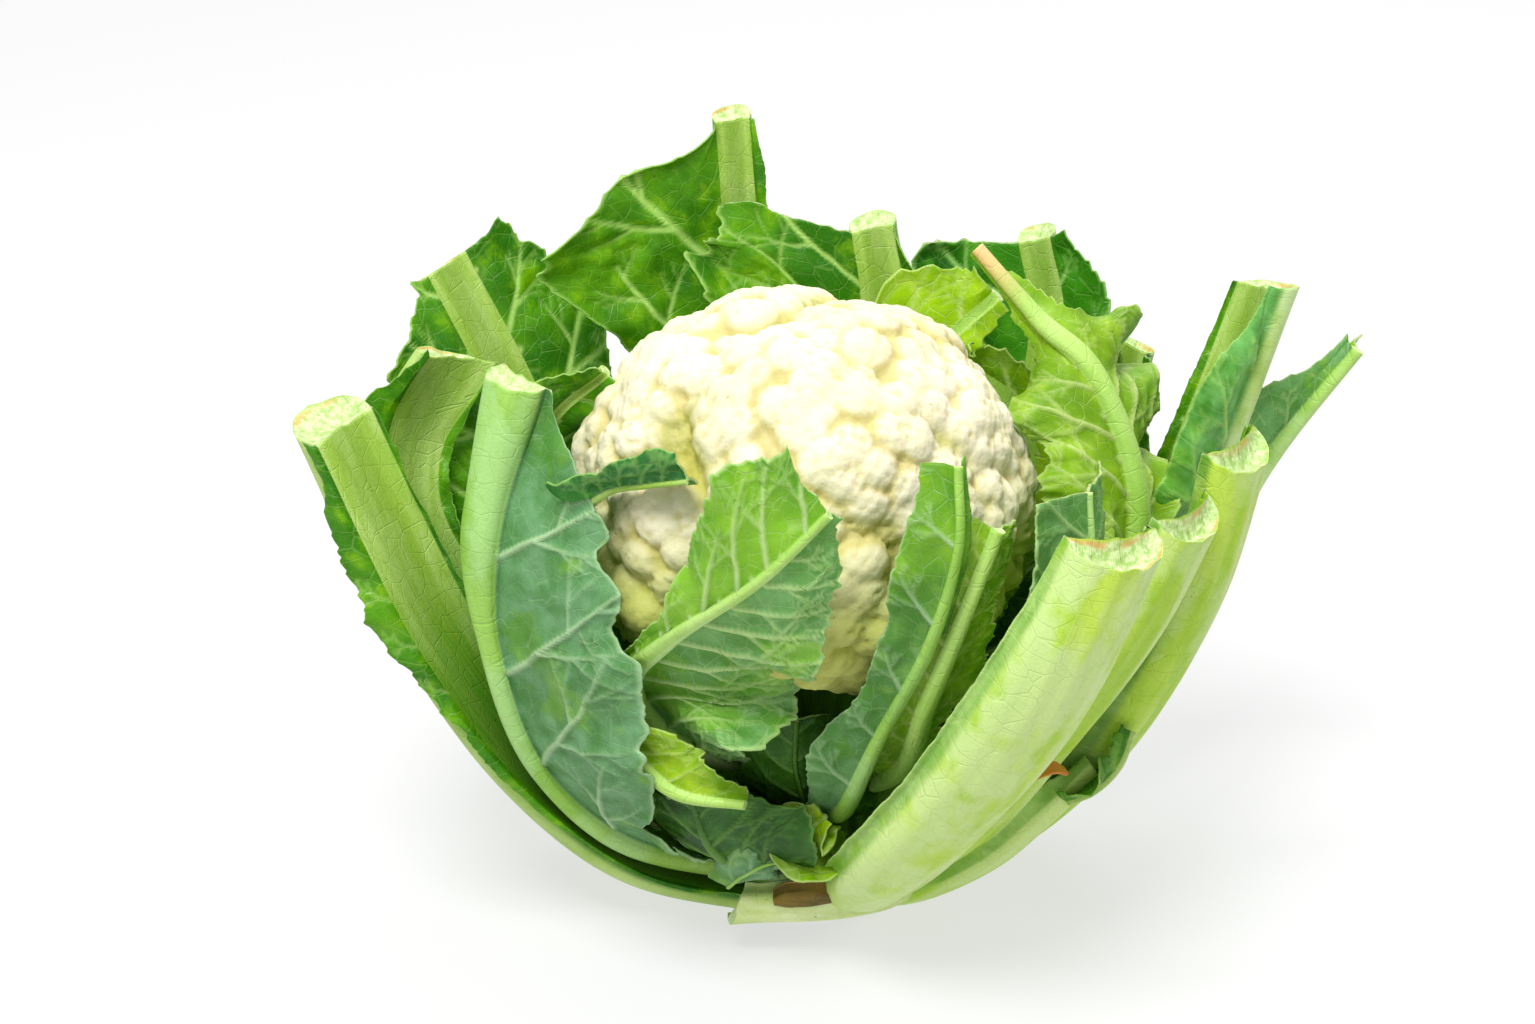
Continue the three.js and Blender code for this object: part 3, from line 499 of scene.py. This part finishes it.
def leaf_surfaces(g, spec, along, vein, gap, seed):
    """A leaf's inner and outer face, puffed up between the veins and nowhere below the floor."""
    facing_in = grid_normals(g["inner"])
    open_blade = (g["rib"] == 0) * np.clip(g["edge"] * 4, 0, 1)
    dents = 0.7 * wander_2d(g["across"] / 11 + 20, along / 11, seed + 5)
    puff = PUFF * np.clip(gap / PUFF_REACH, 0, 1) ** 0.7 + dents
    puff = puff + 0.3 * wander_2d(g["across"] / 4 + 20, along / 4, seed + 7)
    inner = g["inner"] + facing_in * (puff * open_blade - VEIN_GROOVE * vein)[..., None]
    depth = eased(spec["depth"], g["t"])[:, None]
    ridges = RIDGE * np.sin(g["across"] * 0.9 + wander(along / 60, seed) * 2) * g["rib"]
    thick = BLADE_THICKNESS - EDGE_THINNING * g["edge"] + (depth + RIB_SWELL) * g["rib"] + ridges
    thick = thick + VEIN_HEIGHT * vein
    outer = inner - facing_in * thick[..., None]
    slant = g["bevel"] * (thick - NARROWEST_BLADE) * (g["t"] ** 20)[:, None]
    outer = outer + g["tangent"][:, None] * slant[..., None]
    outer[..., 2] = np.maximum(outer[..., 2], 0)
    return inner, outer


def leaf_quads(rows, columns):
    """The quads of both faces and the two long edges, and the point numbers of the two faces."""
    index = np.arange(rows * columns).reshape(rows, columns)
    other = index + rows * columns
    a, b, c, d = index[:-1, :-1], index[:-1, 1:], index[1:, 1:], index[1:, :-1]
    quads = [np.stack([a, b, c, d], -1).reshape(-1, 4)]
    a, b, c, d = (part + rows * columns for part in (a, b, c, d))
    quads.append(np.stack([a, d, c, b], -1).reshape(-1, 4))
    for column, turn in ((0, 1), (-1, -1)):
        strip = np.stack([index[:-1, column], index[1:, column], other[1:, column], other[:-1, column]], -1)
        quads.append(strip[:, ::turn])
    return quads, index, other


def leaf_attributes(g, spec, along, vein, seed):
    """What a leaf's material needs to know at each point, first of its inner and then of its outer face."""
    count = along.size
    share = np.broadcast_to(g["t"][:, None], along.shape)
    waxy = np.where(g["across"] < 0, eased(spec["bloom"][0], share), eased(spec["bloom"][1], share))
    flow = np.stack([g["across"], along, np.full_like(along, seed * 7.0)], -1).reshape(-1, 3)
    dry = np.clip((share - spec["dry"]) * 12, 0, 1)
    same = {"vein": vein, "rib": g["rib"], "edge": g["edge"], "share": share, "dry": dry}
    attributes = {label: np.tile(values.ravel(), 2) for label, values in same.items()}
    attributes["bloom"] = np.concatenate([np.zeros(count), waxy.ravel()])
    attributes["cut"] = np.zeros(2 * count)
    attributes["outer"] = np.repeat([0.0, 1.0], count)
    attributes["flow"] = np.tile(flow, (2, 1))
    return attributes


def make_leaf(name, spec, seed):
    """A leaf's fine closed mesh: inner face, outer face, thin edges and cut ends."""
    g = leaf_grid(spec, seed)
    along = np.broadcast_to((g["t"] * g["length"])[:, None], g["edge"].shape)
    vein, gap = leaf_veins(g, spec, along, seed)
    inner, outer = leaf_surfaces(g, spec, along, vein, gap, seed)
    points = np.concatenate([inner.reshape(-1, 3), outer.reshape(-1, 3)])
    attributes = leaf_attributes(g, spec, along, vein, seed)
    quads, index, other = leaf_quads(*g["edge"].shape)
    first_flat = sum(len(part) for part in quads)
    for row, turn, hollow in ((0, -1, 0), (-1, 1, g["hollow"])):
        points, attributes, face = end_face(points, attributes, index[row], other[row], g, row, hollow, seed)
        quads.append(face[:, ::turn])
    faces = np.concatenate(quads)
    piece = make_piece("fine_" + name, points, faces, attributes, np.arange(first_flat, len(faces)))
    piece.data.materials.append(LEAF_MATERIALS[spec["look"]])
    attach(piece, "root")
    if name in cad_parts:
        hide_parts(name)


def end_face(points, attributes, near, far, g, row, hollow, seed):
    """The cut face between the inner and the outer row of points at one end, sunk a little in its middle."""
    share = np.linspace(0, 1, END_LAYERS + 1)[1:-1, None]
    start, end = points[near], points[far]
    body = start[None] * (1 - share[..., None]) + end[None] * share[..., None]
    dish = 4 * share * (1 - share) * np.clip(g["rib"][row], 0, 1)[None] ** 2
    rough = 0.35 * wander_2d(g["across"][row][None] / 2 + 30, share * 9, seed + 8) * (hollow > 0)
    body = body - (dish * hollow + rough)[..., None] * g["tangent"][row]
    first = len(points)
    points = np.concatenate([points, body.reshape(-1, 3)])
    columns = len(near)
    fresh = {}
    for label, values in attributes.items():
        repeated = np.tile(values[near], (END_LAYERS - 1,) + (1,) * (values.ndim - 1))
        fresh[label] = np.concatenate([values, np.ones_like(repeated) if label == "cut" else repeated])
    ids = [near] + [first + k * columns + np.arange(columns) for k in range(END_LAYERS - 1)] + [far]
    faces = [np.stack([a[:-1], a[1:], b[1:], b[:-1]], -1) for a, b in zip(ids[:-1], ids[1:])]
    return points, fresh, np.concatenate(faces)


# ---- curd ----

CURD_MARGIN = 1.5  # how much wider the curd's body is than its solid, on each side, mm
WIDEST = 0.46  # the height at which the curd is widest, as a share of the whole
RIM = 6  # how far the florets of the curd's lower rim stand out, mm
FLORETS = {
    "lump": dict(count=52, reach=0.78, height=9.0, jitter=0.14, seed=3),
    "floret": dict(count=420, reach=0.74, height=4.2, jitter=0.16, seed=5),
    "bead": dict(count=5600, reach=0.74, height=1.5, jitter=0.16, seed=7),
}


def spiral_points(count, seed, jitter):
    """Directions spread evenly over a sphere, each a little out of place."""
    k = np.arange(count)
    height = 1 - (2 * k + 1) / count
    turn = k * math.pi * (3 - math.sqrt(5))
    flat = np.sqrt(1 - height**2)
    spots = np.stack([flat * np.cos(turn), flat * np.sin(turn), height], 1)
    spread = jitter * math.sqrt(4 * math.pi / count)
    return unit(spots + np.random.default_rng(seed).normal(0, spread, spots.shape))


def domes(directions, spots, reach, sizes):
    """For each direction, the height of the tallest dome over it. Each spot carries a dome of its size."""
    tree = kdtree.KDTree(len(spots))
    for k, spot in enumerate(spots):
        tree.insert(spot, k)
    tree.balance()
    found = [tree.find_n(direction, 4) for direction in directions]
    which = np.array([[hit[1] for hit in hits] for hits in found])
    gap = np.array([[hit[2] for hit in hits] for hits in found])
    round_top = np.sqrt(np.clip(1 - (gap / (reach * sizes[which])) ** 2, 0, 1))
    return (round_top * sizes[which]).max(axis=1)


def ball_mesh():
    """The directions and triangles of a finely divided ball."""
    bpy.ops.mesh.primitive_ico_sphere_add(subdivisions=CURD_SUBDIVISIONS, radius=1)
    ball = bpy.context.object
    directions = np.zeros(len(ball.data.vertices) * 3)
    ball.data.vertices.foreach_get("co", directions)
    faces = np.zeros(len(ball.data.polygons) * 3, np.int32)
    ball.data.loops.foreach_get("vertex_index", faces)
    bpy.data.objects.remove(ball)
    return unit(directions.reshape(-1, 3)), faces.reshape(-1, 3)


def floret_heights(directions):
    """How high each direction lies on the lumps, on the florets and on the beads."""
    heights = []
    for kind in FLORETS.values():
        spots = spiral_points(kind["count"], kind["seed"], kind["jitter"])
        reach = kind["reach"] * math.sqrt(4 * math.pi / kind["count"])
        sizes = np.random.default_rng(kind["seed"] + 1).uniform(0.8, 1.1, kind["count"])
        heights.append(domes(directions, spots, reach, sizes))
    return heights


def make_curd():
    """The curd: a round head of florets, each of smaller florets, each of beads."""
    low, high = (np.array(corner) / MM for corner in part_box("curd"))
    centre = (low + high) / 2
    radius = (high - low)[0] / 2 + CURD_MARGIN
    widest = low[2] + WIDEST * (high - low)[2]
    directions, faces = ball_mesh()
    lumps, florets, beads = floret_heights(directions)
    downward = np.clip(0.35 - directions[:, 2], 0, 1)
    level = FLORETS["lump"]["height"] * (1 + 1.2 * downward) * (lumps - 0.8)
    level = level + FLORETS["floret"]["height"] * (1 + downward) * (florets - 0.8)
    level = level + FLORETS["bead"]["height"] * (beads - 0.7)
    level = level + RIM * np.clip(1 - ((directions[:, 2] + 0.45) / 0.4) ** 2, 0, 1)
    sideways = np.full(len(directions), radius)
    upright = np.where(directions[:, 2] > 0, high[2] - widest, widest - low[2])
    size = np.stack([sideways, sideways, upright], 1)
    points = np.array([centre[0], centre[1], widest]) + directions * (size + level[:, None])
    # The heights of the beads, florets and lumps and the downward share also place the painted shade in the
    # curd's material.
    attributes = {"lump": lumps, "floret": florets, "bead": beads, "under": downward}
    piece = make_piece("fine_curd", points, faces, attributes)
    piece.data.materials.append(curd_material())
    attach(piece, "root")
    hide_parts("curd")


# ---- stem ----

STEM_OUTLINE = [(0, 0), (8, 0), (15, 0), (17.6, 0.4), (19.6, 2), (22, 6), (24.6, 16), (26.6, 34), (24.5, 50),
                (21.5, 70)]  # radius and height from the foot up, mm
STEM_ROWS = 110
STEM_AROUND = 160


def make_stem():
    """The stem: a thick stalk, round and ridged, with a rough cut foot."""
    low, high = (np.array(corner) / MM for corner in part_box("stem"))
    centre = (low + high) / 2
    outline = STEM_OUTLINE + [(20.8, high[2] - 3), (0, high[2] - 3)]
    profile = catmull_rom(outline, np.linspace(0, 1, STEM_ROWS))
    angle = np.linspace(0, 2 * math.pi, STEM_AROUND, endpoint=False)[None]
    radius, level = profile[:, :1], profile[:, 1:]
    body = np.clip(level / 6, 0, 1)
    ridges = 1 + 0.02 * body * np.sin(angle * 9) + 0.012 * body * np.sin(angle * 23 + 1)
    radius = np.maximum(radius, 0) * ridges
    level = np.broadcast_to(np.maximum(level, 0), radius.shape)
    grid = np.stack([centre[0] + radius * np.cos(angle), centre[1] + radius * np.sin(angle), level], -1)
    index = np.arange(STEM_ROWS * STEM_AROUND).reshape(STEM_ROWS, STEM_AROUND)
    right = np.roll(index, -1, axis=1)
    faces = np.stack([index[:-1], right[:-1], right[1:], index[1:]], -1).reshape(-1, 4)
    attributes = {"foot": np.repeat(np.clip(1 - np.maximum(profile[:, 1], 0) / 2, 0, 1), STEM_AROUND)}
    piece = make_piece("fine_stem", grid.reshape(-1, 3), faces, attributes)
    piece.data.materials.append(stem_material())
    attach(piece, "root")
    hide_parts("stem")


# ---- materials ----


def rgb(code):
    """A display colour such as "9acd32" as the linear colour that a shader takes."""
    parts = [int(code[k:k + 2], 16) / 255 for k in (0, 2, 4)]
    return [p / 12.92 if p < 0.04045 else ((p + 0.055) / 1.055) ** 2.4 for p in parts] + [1.0]


class Graph:
    """Short names for the nodes of one material."""

    def __init__(self, name):
        self.material = bpy.data.materials.new(name)
        self.material.use_nodes = True
        self.nodes = self.material.node_tree.nodes
        self.links = self.material.node_tree.links
        self.nodes.clear()

    def add(self, kind, inputs=None, **settings):
        node = self.nodes.new(kind)
        for key, value in settings.items():
            setattr(node, key, value)
        for key, value in (inputs or {}).items():
            self.feed(node.inputs[key], value)
        return node

    def feed(self, socket, value):
        if isinstance(value, bpy.types.NodeSocket):
            self.links.new(value, socket)
        else:
            socket.default_value = value

    def attribute(self, name, vector=False):
        node = self.add("ShaderNodeAttribute", attribute_name=name)
        return node.outputs["Vector" if vector else "Fac"]

    def place(self):
        return self.add("ShaderNodeTexCoord").outputs["Object"]

    def noise(self, vector, scale, detail=4, roughness=0.6):
        inputs = {"Vector": vector, "Scale": scale, "Detail": detail, "Roughness": roughness}
        return self.add("ShaderNodeTexNoise", inputs).outputs["Fac"]

    def cells(self, vector, scale, feature="DISTANCE_TO_EDGE"):
        node = self.add("ShaderNodeTexVoronoi", {"Vector": vector, "Scale": scale}, feature=feature)
        return node.outputs["Distance"]

    def stretch(self, vector, scale):
        return self.add("ShaderNodeMapping", {"Vector": vector, "Scale": scale}).outputs["Vector"]

    def remap(self, value, low, high, to_low=0.0, to_high=1.0):
        inputs = {"Value": value, "From Min": low, "From Max": high, "To Min": to_low, "To Max": to_high}
        return self.add("ShaderNodeMapRange", inputs, interpolation_type="SMOOTHSTEP").outputs["Result"]

    def math(self, operation, a, b):
        return self.add("ShaderNodeMath", {0: a, 1: b}, operation=operation).outputs[0]

    def times(self, a, b):
        return self.math("MULTIPLY", a, b)

    def mix(self, share, a, b):
        node = self.add("ShaderNodeMix", data_type="RGBA")
        self.feed(node.inputs[0], share)
        self.feed(node.inputs[6], a)
        self.feed(node.inputs[7], b)
        return node.outputs[2]

    def tint(self, base, mask, strength, colour):
        """The base colour with another laid over it, as strongly as the mask says."""
        return self.mix(self.times(mask, strength), base, colour)

    def bump(self, height, strength, distance, normal=None):
        inputs = {"Height": height, "Strength": strength, "Distance": distance}
        if normal is not None:
            inputs["Normal"] = normal
        return self.add("ShaderNodeBump", inputs).outputs["Normal"]

    def finish(self, shader):
        output = self.add("ShaderNodeOutputMaterial")
        self.links.new(shader, output.inputs["Surface"])
        return self.material


def blade_colour(m, tone, place, mottle, net):
    """Mottled green above, waxy and rubbed below, with pale veins and a pale edge."""
    vein, edge, bloom = m.attribute("vein"), m.attribute("edge"), m.attribute("bloom")
    upper = m.mix(m.remap(m.noise(place, 24, 5, 0.62), 0.38, 0.62), tone["dark"], tone["blade"])
    upper = m.tint(upper, m.remap(mottle, 0.5, 0.72), 0.55, tone["light"])
    under = m.mix(m.remap(mottle, 0.3, 0.7), tone["wax_dark"], tone["wax"])
    under = m.tint(under, m.remap(m.noise(place, 34, 4, 0.55), 0.53, 0.6), 0.6, upper)
    blade = m.mix(bloom, upper, under)
    blade = m.tint(blade, net, tone["net"], tone["vein"])
    blade = m.tint(blade, vein, 0.9, tone["vein"])
    return m.tint(blade, m.remap(edge, 0.95, 1.0), 0.55, tone["vein"])


def stalk_colour(m, tone, flow, threads, rib):
    """A rib: streaked green with fine lines, hazed with wax, toned at its base and dry at its tip, with
    painted shade in its groove and low on its inner face.
    """
    share = m.attribute("share")
    inner = m.math("SUBTRACT", 1.0, m.attribute("outer"))
    smear = m.noise(m.stretch(flow, (0.1, 0.018, 1.0)), 1.0, 4, 0.6)
    haze = m.noise(m.stretch(flow, (0.05, 0.022, 1.0)), 1.0, 4, 0.6)
    stalk = m.mix(m.remap(smear, 0.38, 0.62), tone["rib_dark"], tone["rib"])
    stalk = m.tint(stalk, m.remap(threads, 0.54, 0.72), 0.16, tone["rib_line_and_shade"])
    # Painted shade: the middle of the rib's inner face, along its groove, is darkened.
    stalk = m.tint(stalk, m.remap(rib, 0.75, 1.0), m.times(inner, 0.45), tone["rib_line_and_shade"])
    stalk = m.tint(stalk, m.remap(haze, 0.43, 0.57), m.times(m.attribute("bloom"), 0.8), tone["rib_wax"])
    # Tone at the rib's base: paler on some looks, and on the green and waxy looks a darker olive that is
    # painted shade.
    stalk = m.tint(stalk, m.remap(share, 0.35, 0.0), 0.5, tone["rib_base"])
    # Painted shade: the rib's inner face darkens towards the base of the leaf.
    shaded = m.mix(m.remap(threads, 0.45, 0.6), tone["dark"], tone["rib_line_and_shade"])
    stalk = m.tint(stalk, m.remap(share, 0.85, 0.5), m.times(inner, 0.85), shaded)
    return m.tint(stalk, m.attribute("dry"), 0.9, rgb("e4bc84"))


def pith_colour(m, place, cut):
    """A trimmed end: pale pith, browned in places round its rim."""
    pith = m.mix(m.remap(m.noise(place, 420, 4, 0.7), 0.35, 0.65), rgb("98ba62"), rgb("cfdfa6"))
    dried = m.times(m.remap(m.noise(place, 60, 3, 0.5), 0.46, 0.6), m.remap(cut, 0.98, 0.5))
    return m.tint(pith, dried, 0.75, rgb("c98f3f"))


def leaf_material(look):
    """A leaf: mottled green with pale veins, a waxy back, a ribbed stalk and pale, drying cut ends."""
    tone = LOOKS[look]
    tone = {**tone, **{part: rgb(code) for part, code in zip(TONES, tone["tones"].split())}}
    m = Graph("leaf_" + look)
    place, flow = m.place(), m.attribute("flow", vector=True)
    rib, bloom, cut = m.attribute("rib"), m.attribute("bloom"), m.attribute("cut")
    mottle = m.noise(place, 95, 4, 0.6)
    fine_net = m.remap(m.cells(flow, 0.62), 0.07, 0.0)
    net = m.math("MAXIMUM", m.remap(m.cells(flow, 0.16), 0.045, 0.0), m.times(fine_net, 0.4))
    threads = m.noise(m.stretch(flow, (1.3, 0.03, 1.0)), 1.0, 3, 0.6)

    blade = blade_colour(m, tone, place, mottle, net)
    colour = m.mix(m.remap(rib, 0.0, 0.3), blade, stalk_colour(m, tone, flow, threads, rib))
    colour = m.tint(colour, m.remap(m.noise(place, 260, 2, 0.5), 0.76, 0.8), 0.5, rgb("6b6a1e"))
    colour = m.mix(m.remap(cut, 0.0, 0.4), colour, pith_colour(m, place, cut))

    normal = m.bump(m.times(m.remap(threads, 0.3, 0.7), rib), 0.2, 0.0005)
    normal = m.bump(m.times(net, -1.0), 0.4, 0.0005, normal)
    normal = m.bump(mottle, 0.3, 0.0012, normal)
    rough = m.remap(m.noise(place, 420, 3, 0.6), 0.3, 0.7, tone["rough"] - 0.06, tone["rough"] + 0.1)
    rough = m.math("ADD", rough, m.times(bloom, 0.08))
    skin = m.add("ShaderNodeBsdfPrincipled", {
        "Base Color": colour, "Roughness": rough, "Normal": normal, "Specular IOR Level": 0.32,
    })
    glow = m.add("ShaderNodeBsdfTranslucent", {"Color": colour, "Normal": normal})
    thin = m.times(m.remap(rib, 0.3, 0.0), tone["glow"])
    mixed = m.add("ShaderNodeMixShader", {0: thin, 1: skin.outputs[0], 2: glow.outputs[0]})
    return m.finish(mixed.outputs[0])


# tones: the upper side's dark, middle and light, the waxy side's dark and light, the veins, and the rib's
# dark and light streaks, fine lines that also give its painted shade, wax and base (paler on some looks, and
# on others a darker olive that is painted shade)
# glow: how much light a blade lets through, and net how plainly the finest veins show
TONES = ("dark", "blade", "light", "wax_dark", "wax", "vein",
         "rib_dark", "rib", "rib_line_and_shade", "rib_wax", "rib_base")
LOOKS = {
    "pale": dict(tones="619c18 90c428 bcdc40 83b848 afd478 d8ec9b 9cc420 b6d44c 86b02c c6dc98 d2e2a4",
        rough=0.34, glow=0.2, net=0.1),
    "green": dict(tones="317d00 62aa00 9ed400 54a530 87d074 c6ee80 8fb440 b0cc70 5e8614 c2dc9c 90b03c",
        rough=0.36, glow=0.34, net=0.16),
    "dark": dict(tones="1c6308 3f930d 6ab91d 2c8634 5db776 b5e77d 8fb440 b0cc70 729f30 c2dc9c a0c460",
        rough=0.36, glow=0.28, net=0.14),
    # Painted shade: leaves coloured as dark as the shade of the gaps low in the plant.
    "deep": dict(tones="1c4606 356a0c 568c1c 28601c 4c8a40 6c9c3c 32600c 4c7c1c 2a500a 5c8c3c 3c6c14",
        rough=0.4, glow=0.2, net=0.1),
    "waxy": dict(tones="488808 74ac18 94c428 4c8840 74a873 bcdca8 7cac38 94c054 6c9c38 a0ca7c 90ae4c",
        rough=0.42, glow=0.22, net=0.16),
    "fresh": dict(tones="70b614 98d224 bce84c 5c9c40 88c07c d4eea4 90bc4c acd070 80ac40 b8d890 bcd48c",
        rough=0.38, glow=0.36, net=0.3),
    "young": dict(tones="80b400 b0dc00 d4f02c 76b030 9fd070 dff09a 94c048 acd068 84b040 bcd88c c8dc94",
        rough=0.38, glow=0.42, net=0.3),
    "cream": dict(tones="a4c060 cfe094 eef4c8 b4cc7c dce8b0 f2f6d4 b6cc70 dde8a8 a4bc60 eef2d0 e6eec0",
        rough=0.4, glow=0.2, net=0.1),
    "dried": dict(tones="5a4a10 7c6418 a88a34 6a5a1c 8c7a3c b89c50 4e4208 7a6420 3c3206 8c7a3c 5e5012",
        rough=0.6, glow=0.1, net=0.1),
    "rust": dict(tones="a46410 c88a20 deac48 a46410 c88a20 deac48 a46410 c88a20 84500c c88a20 a46410",
        rough=0.6, glow=0.1, net=0.1),
}


def curd_material():
    """The curd: cream and palest on its beads, with painted shade that turns it olive in its creases and
    underneath.
    """
    m = Graph("curd")
    place = m.place()
    lump, floret, bead = m.attribute("lump"), m.attribute("floret"), m.attribute("bead")
    under = m.attribute("under")
    base = m.mix(m.remap(m.noise(place, 30, 4), 0.35, 0.7), rgb("e0d9b2"), rgb("e8e0c8"))
    # Painted shade: the curd turns darker and olive in the creases between its beads, florets and lumps.
    base = m.tint(base, m.remap(bead, 0.75, 0.3), 0.5, rgb("d8cc88"))
    base = m.tint(base, m.remap(floret, 0.8, 0.35), 0.65, rgb("bcae48"))
    base = m.tint(base, m.remap(lump, 0.7, 0.25), 0.75, rgb("a9a83c"))
    # Painted shade: the underside of the curd is turned olive, as it is in the shade of the leaves.
    base = m.tint(base, m.remap(under, 0.05, 0.6), 0.85, rgb("a8b040"))
    stain = m.remap(m.noise(place, 16, 3, 0.5), 0.62, 0.75)
    base = m.tint(base, stain, 0.35, rgb("d6d07c"))
    blush = m.remap(m.noise(place, 11, 2, 0.4), 0.68, 0.76)
    base = m.tint(base, blush, 0.4, rgb("f0b89c"))
    speck = m.remap(m.noise(place, 210, 2, 0.5), 0.76, 0.79)
    base = m.tint(base, speck, 0.6, rgb("8a7a34"))
    micro = m.cells(place, 700, "F1")
    grain = m.noise(place, 1500, 3, 0.7)
    normal = m.bump(m.times(micro, -1.0), 0.25, 0.0006)
    normal = m.bump(grain, 0.25, 0.0004, normal)
    skin = m.add("ShaderNodeBsdfPrincipled", {
        "Base Color": base, "Roughness": m.remap(grain, 0.3, 0.7, 0.55, 0.75), "Normal": normal,
        "Specular IOR Level": 0.3, "Subsurface Weight": 0.2, "Subsurface Scale": 0.004,
        "Subsurface Radius": (1.0, 0.85, 0.35),
    })
    return m.finish(skin.outputs[0])


def stem_material():
    """The stem: pale green with fine lengthwise lines, and an off-white, woody, browning foot."""
    m = Graph("stem")
    place, foot = m.place(), m.attribute("foot")
    lines = m.noise(m.stretch(place, (260, 260, 20)), 1.0, 4, 0.6)
    base = m.mix(m.remap(lines, 0.35, 0.65), rgb("4e7c22"), rgb("7ba445"))
    wood = m.mix(m.remap(m.noise(place, 300, 5, 0.7), 0.35, 0.65), rgb("cdb98a"), rgb("eee6c4"))
    base = m.mix(foot, base, wood)
    normal = m.bump(lines, 0.5, 0.0008)
    skin = m.add("ShaderNodeBsdfPrincipled", {"Base Color": base, "Roughness": 0.55, "Normal": normal})
    return m.finish(skin.outputs[0])


def floor_material():
    """Plain white paper on a softly lit table."""
    m = Graph("floor")
    grain = m.noise(m.place(), 900, 2, 0.5)
    normal = m.bump(grain, 0.03, 0.0003)
    paper = m.add("ShaderNodeBsdfPrincipled", {
        "Base Color": rgb("8c8c8c"), "Roughness": 0.9, "Normal": normal, "Specular IOR Level": 0.0,
        "Emission Color": (1.0, 1.0, 1.0, 1.0), "Emission Strength": 0.62,
    })
    return m.finish(paper.outputs[0])


# ---- studio ----

AIM = Vector((-0.014, 0, 0.145))  # from the foot of the stem to what the camera looks at
CAMERA_DISTANCE = 1.0
CAMERA_ELEVATION = math.radians(25)
CAMERA_LENS = 72.2


def plant_axis():
    low, high = (Vector(corner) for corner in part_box("stem"))
    return Vector(((low.x + high.x) / 2, (low.y + high.y) / 2, low.z))


def look_from(thing, position, target):
    thing.location = position
    thing.rotation_euler = (target - position).to_track_quat("-Z", "Y").to_euler()


def make_camera():
    camera = bpy.data.objects.new("camera", bpy.data.cameras.new("camera"))
    camera.data.lens = CAMERA_LENS
    camera.data.clip_start = 0.01
    target = plant_axis() + AIM
    away = Vector((0, -math.cos(CAMERA_ELEVATION), math.sin(CAMERA_ELEVATION)))
    look_from(camera, target + away * CAMERA_DISTANCE, target)
    bpy.context.scene.collection.objects.link(camera)
    bpy.context.scene.camera = camera


def make_light(name, position, size, power):
    light = bpy.data.lights.new(name, "AREA")
    light.shape = "DISK"
    light.size = size
    light.energy = power
    lamp = bpy.data.objects.new(name, light)
    look_from(lamp, Vector(position), plant_axis() + AIM)
    bpy.context.scene.collection.objects.link(lamp)


def make_studio():
    scene = bpy.context.scene
    scene.view_settings.view_transform = "Standard"
    world = bpy.data.worlds.new("studio")
    world.use_nodes = True
    sky = world.node_tree.nodes["Background"]
    sky.inputs["Color"].default_value = (1.0, 1.0, 1.0, 1.0)
    sky.inputs["Strength"].default_value = 0.65
    scene.world = world
    make_light("key", (-0.35, -0.8, 1.9), 0.9, 43)
    make_light("back", (0.6, 1.2, 1.7), 0.9, 16)
    bpy.ops.mesh.primitive_plane_add(size=14)
    floor = bpy.context.object
    floor.name = "floor"
    floor.data.materials.append(floor_material())


# ---- the whole plant ----

FIRST_SEED = 100
SEED_STEP = 37
LEAF_MATERIALS = {look: leaf_material(look) for look in LOOKS}
make_camera()
make_studio()
make_curd()
make_stem()
for number, (leaf_name, leaf_spec) in enumerate({**LEAVES, **SCRAPS}.items()):
    full_spec = {**PLAIN_LEAF, "right": leaf_spec["left"], **leaf_spec}
    make_leaf(leaf_name, full_spec, FIRST_SEED + SEED_STEP * number)
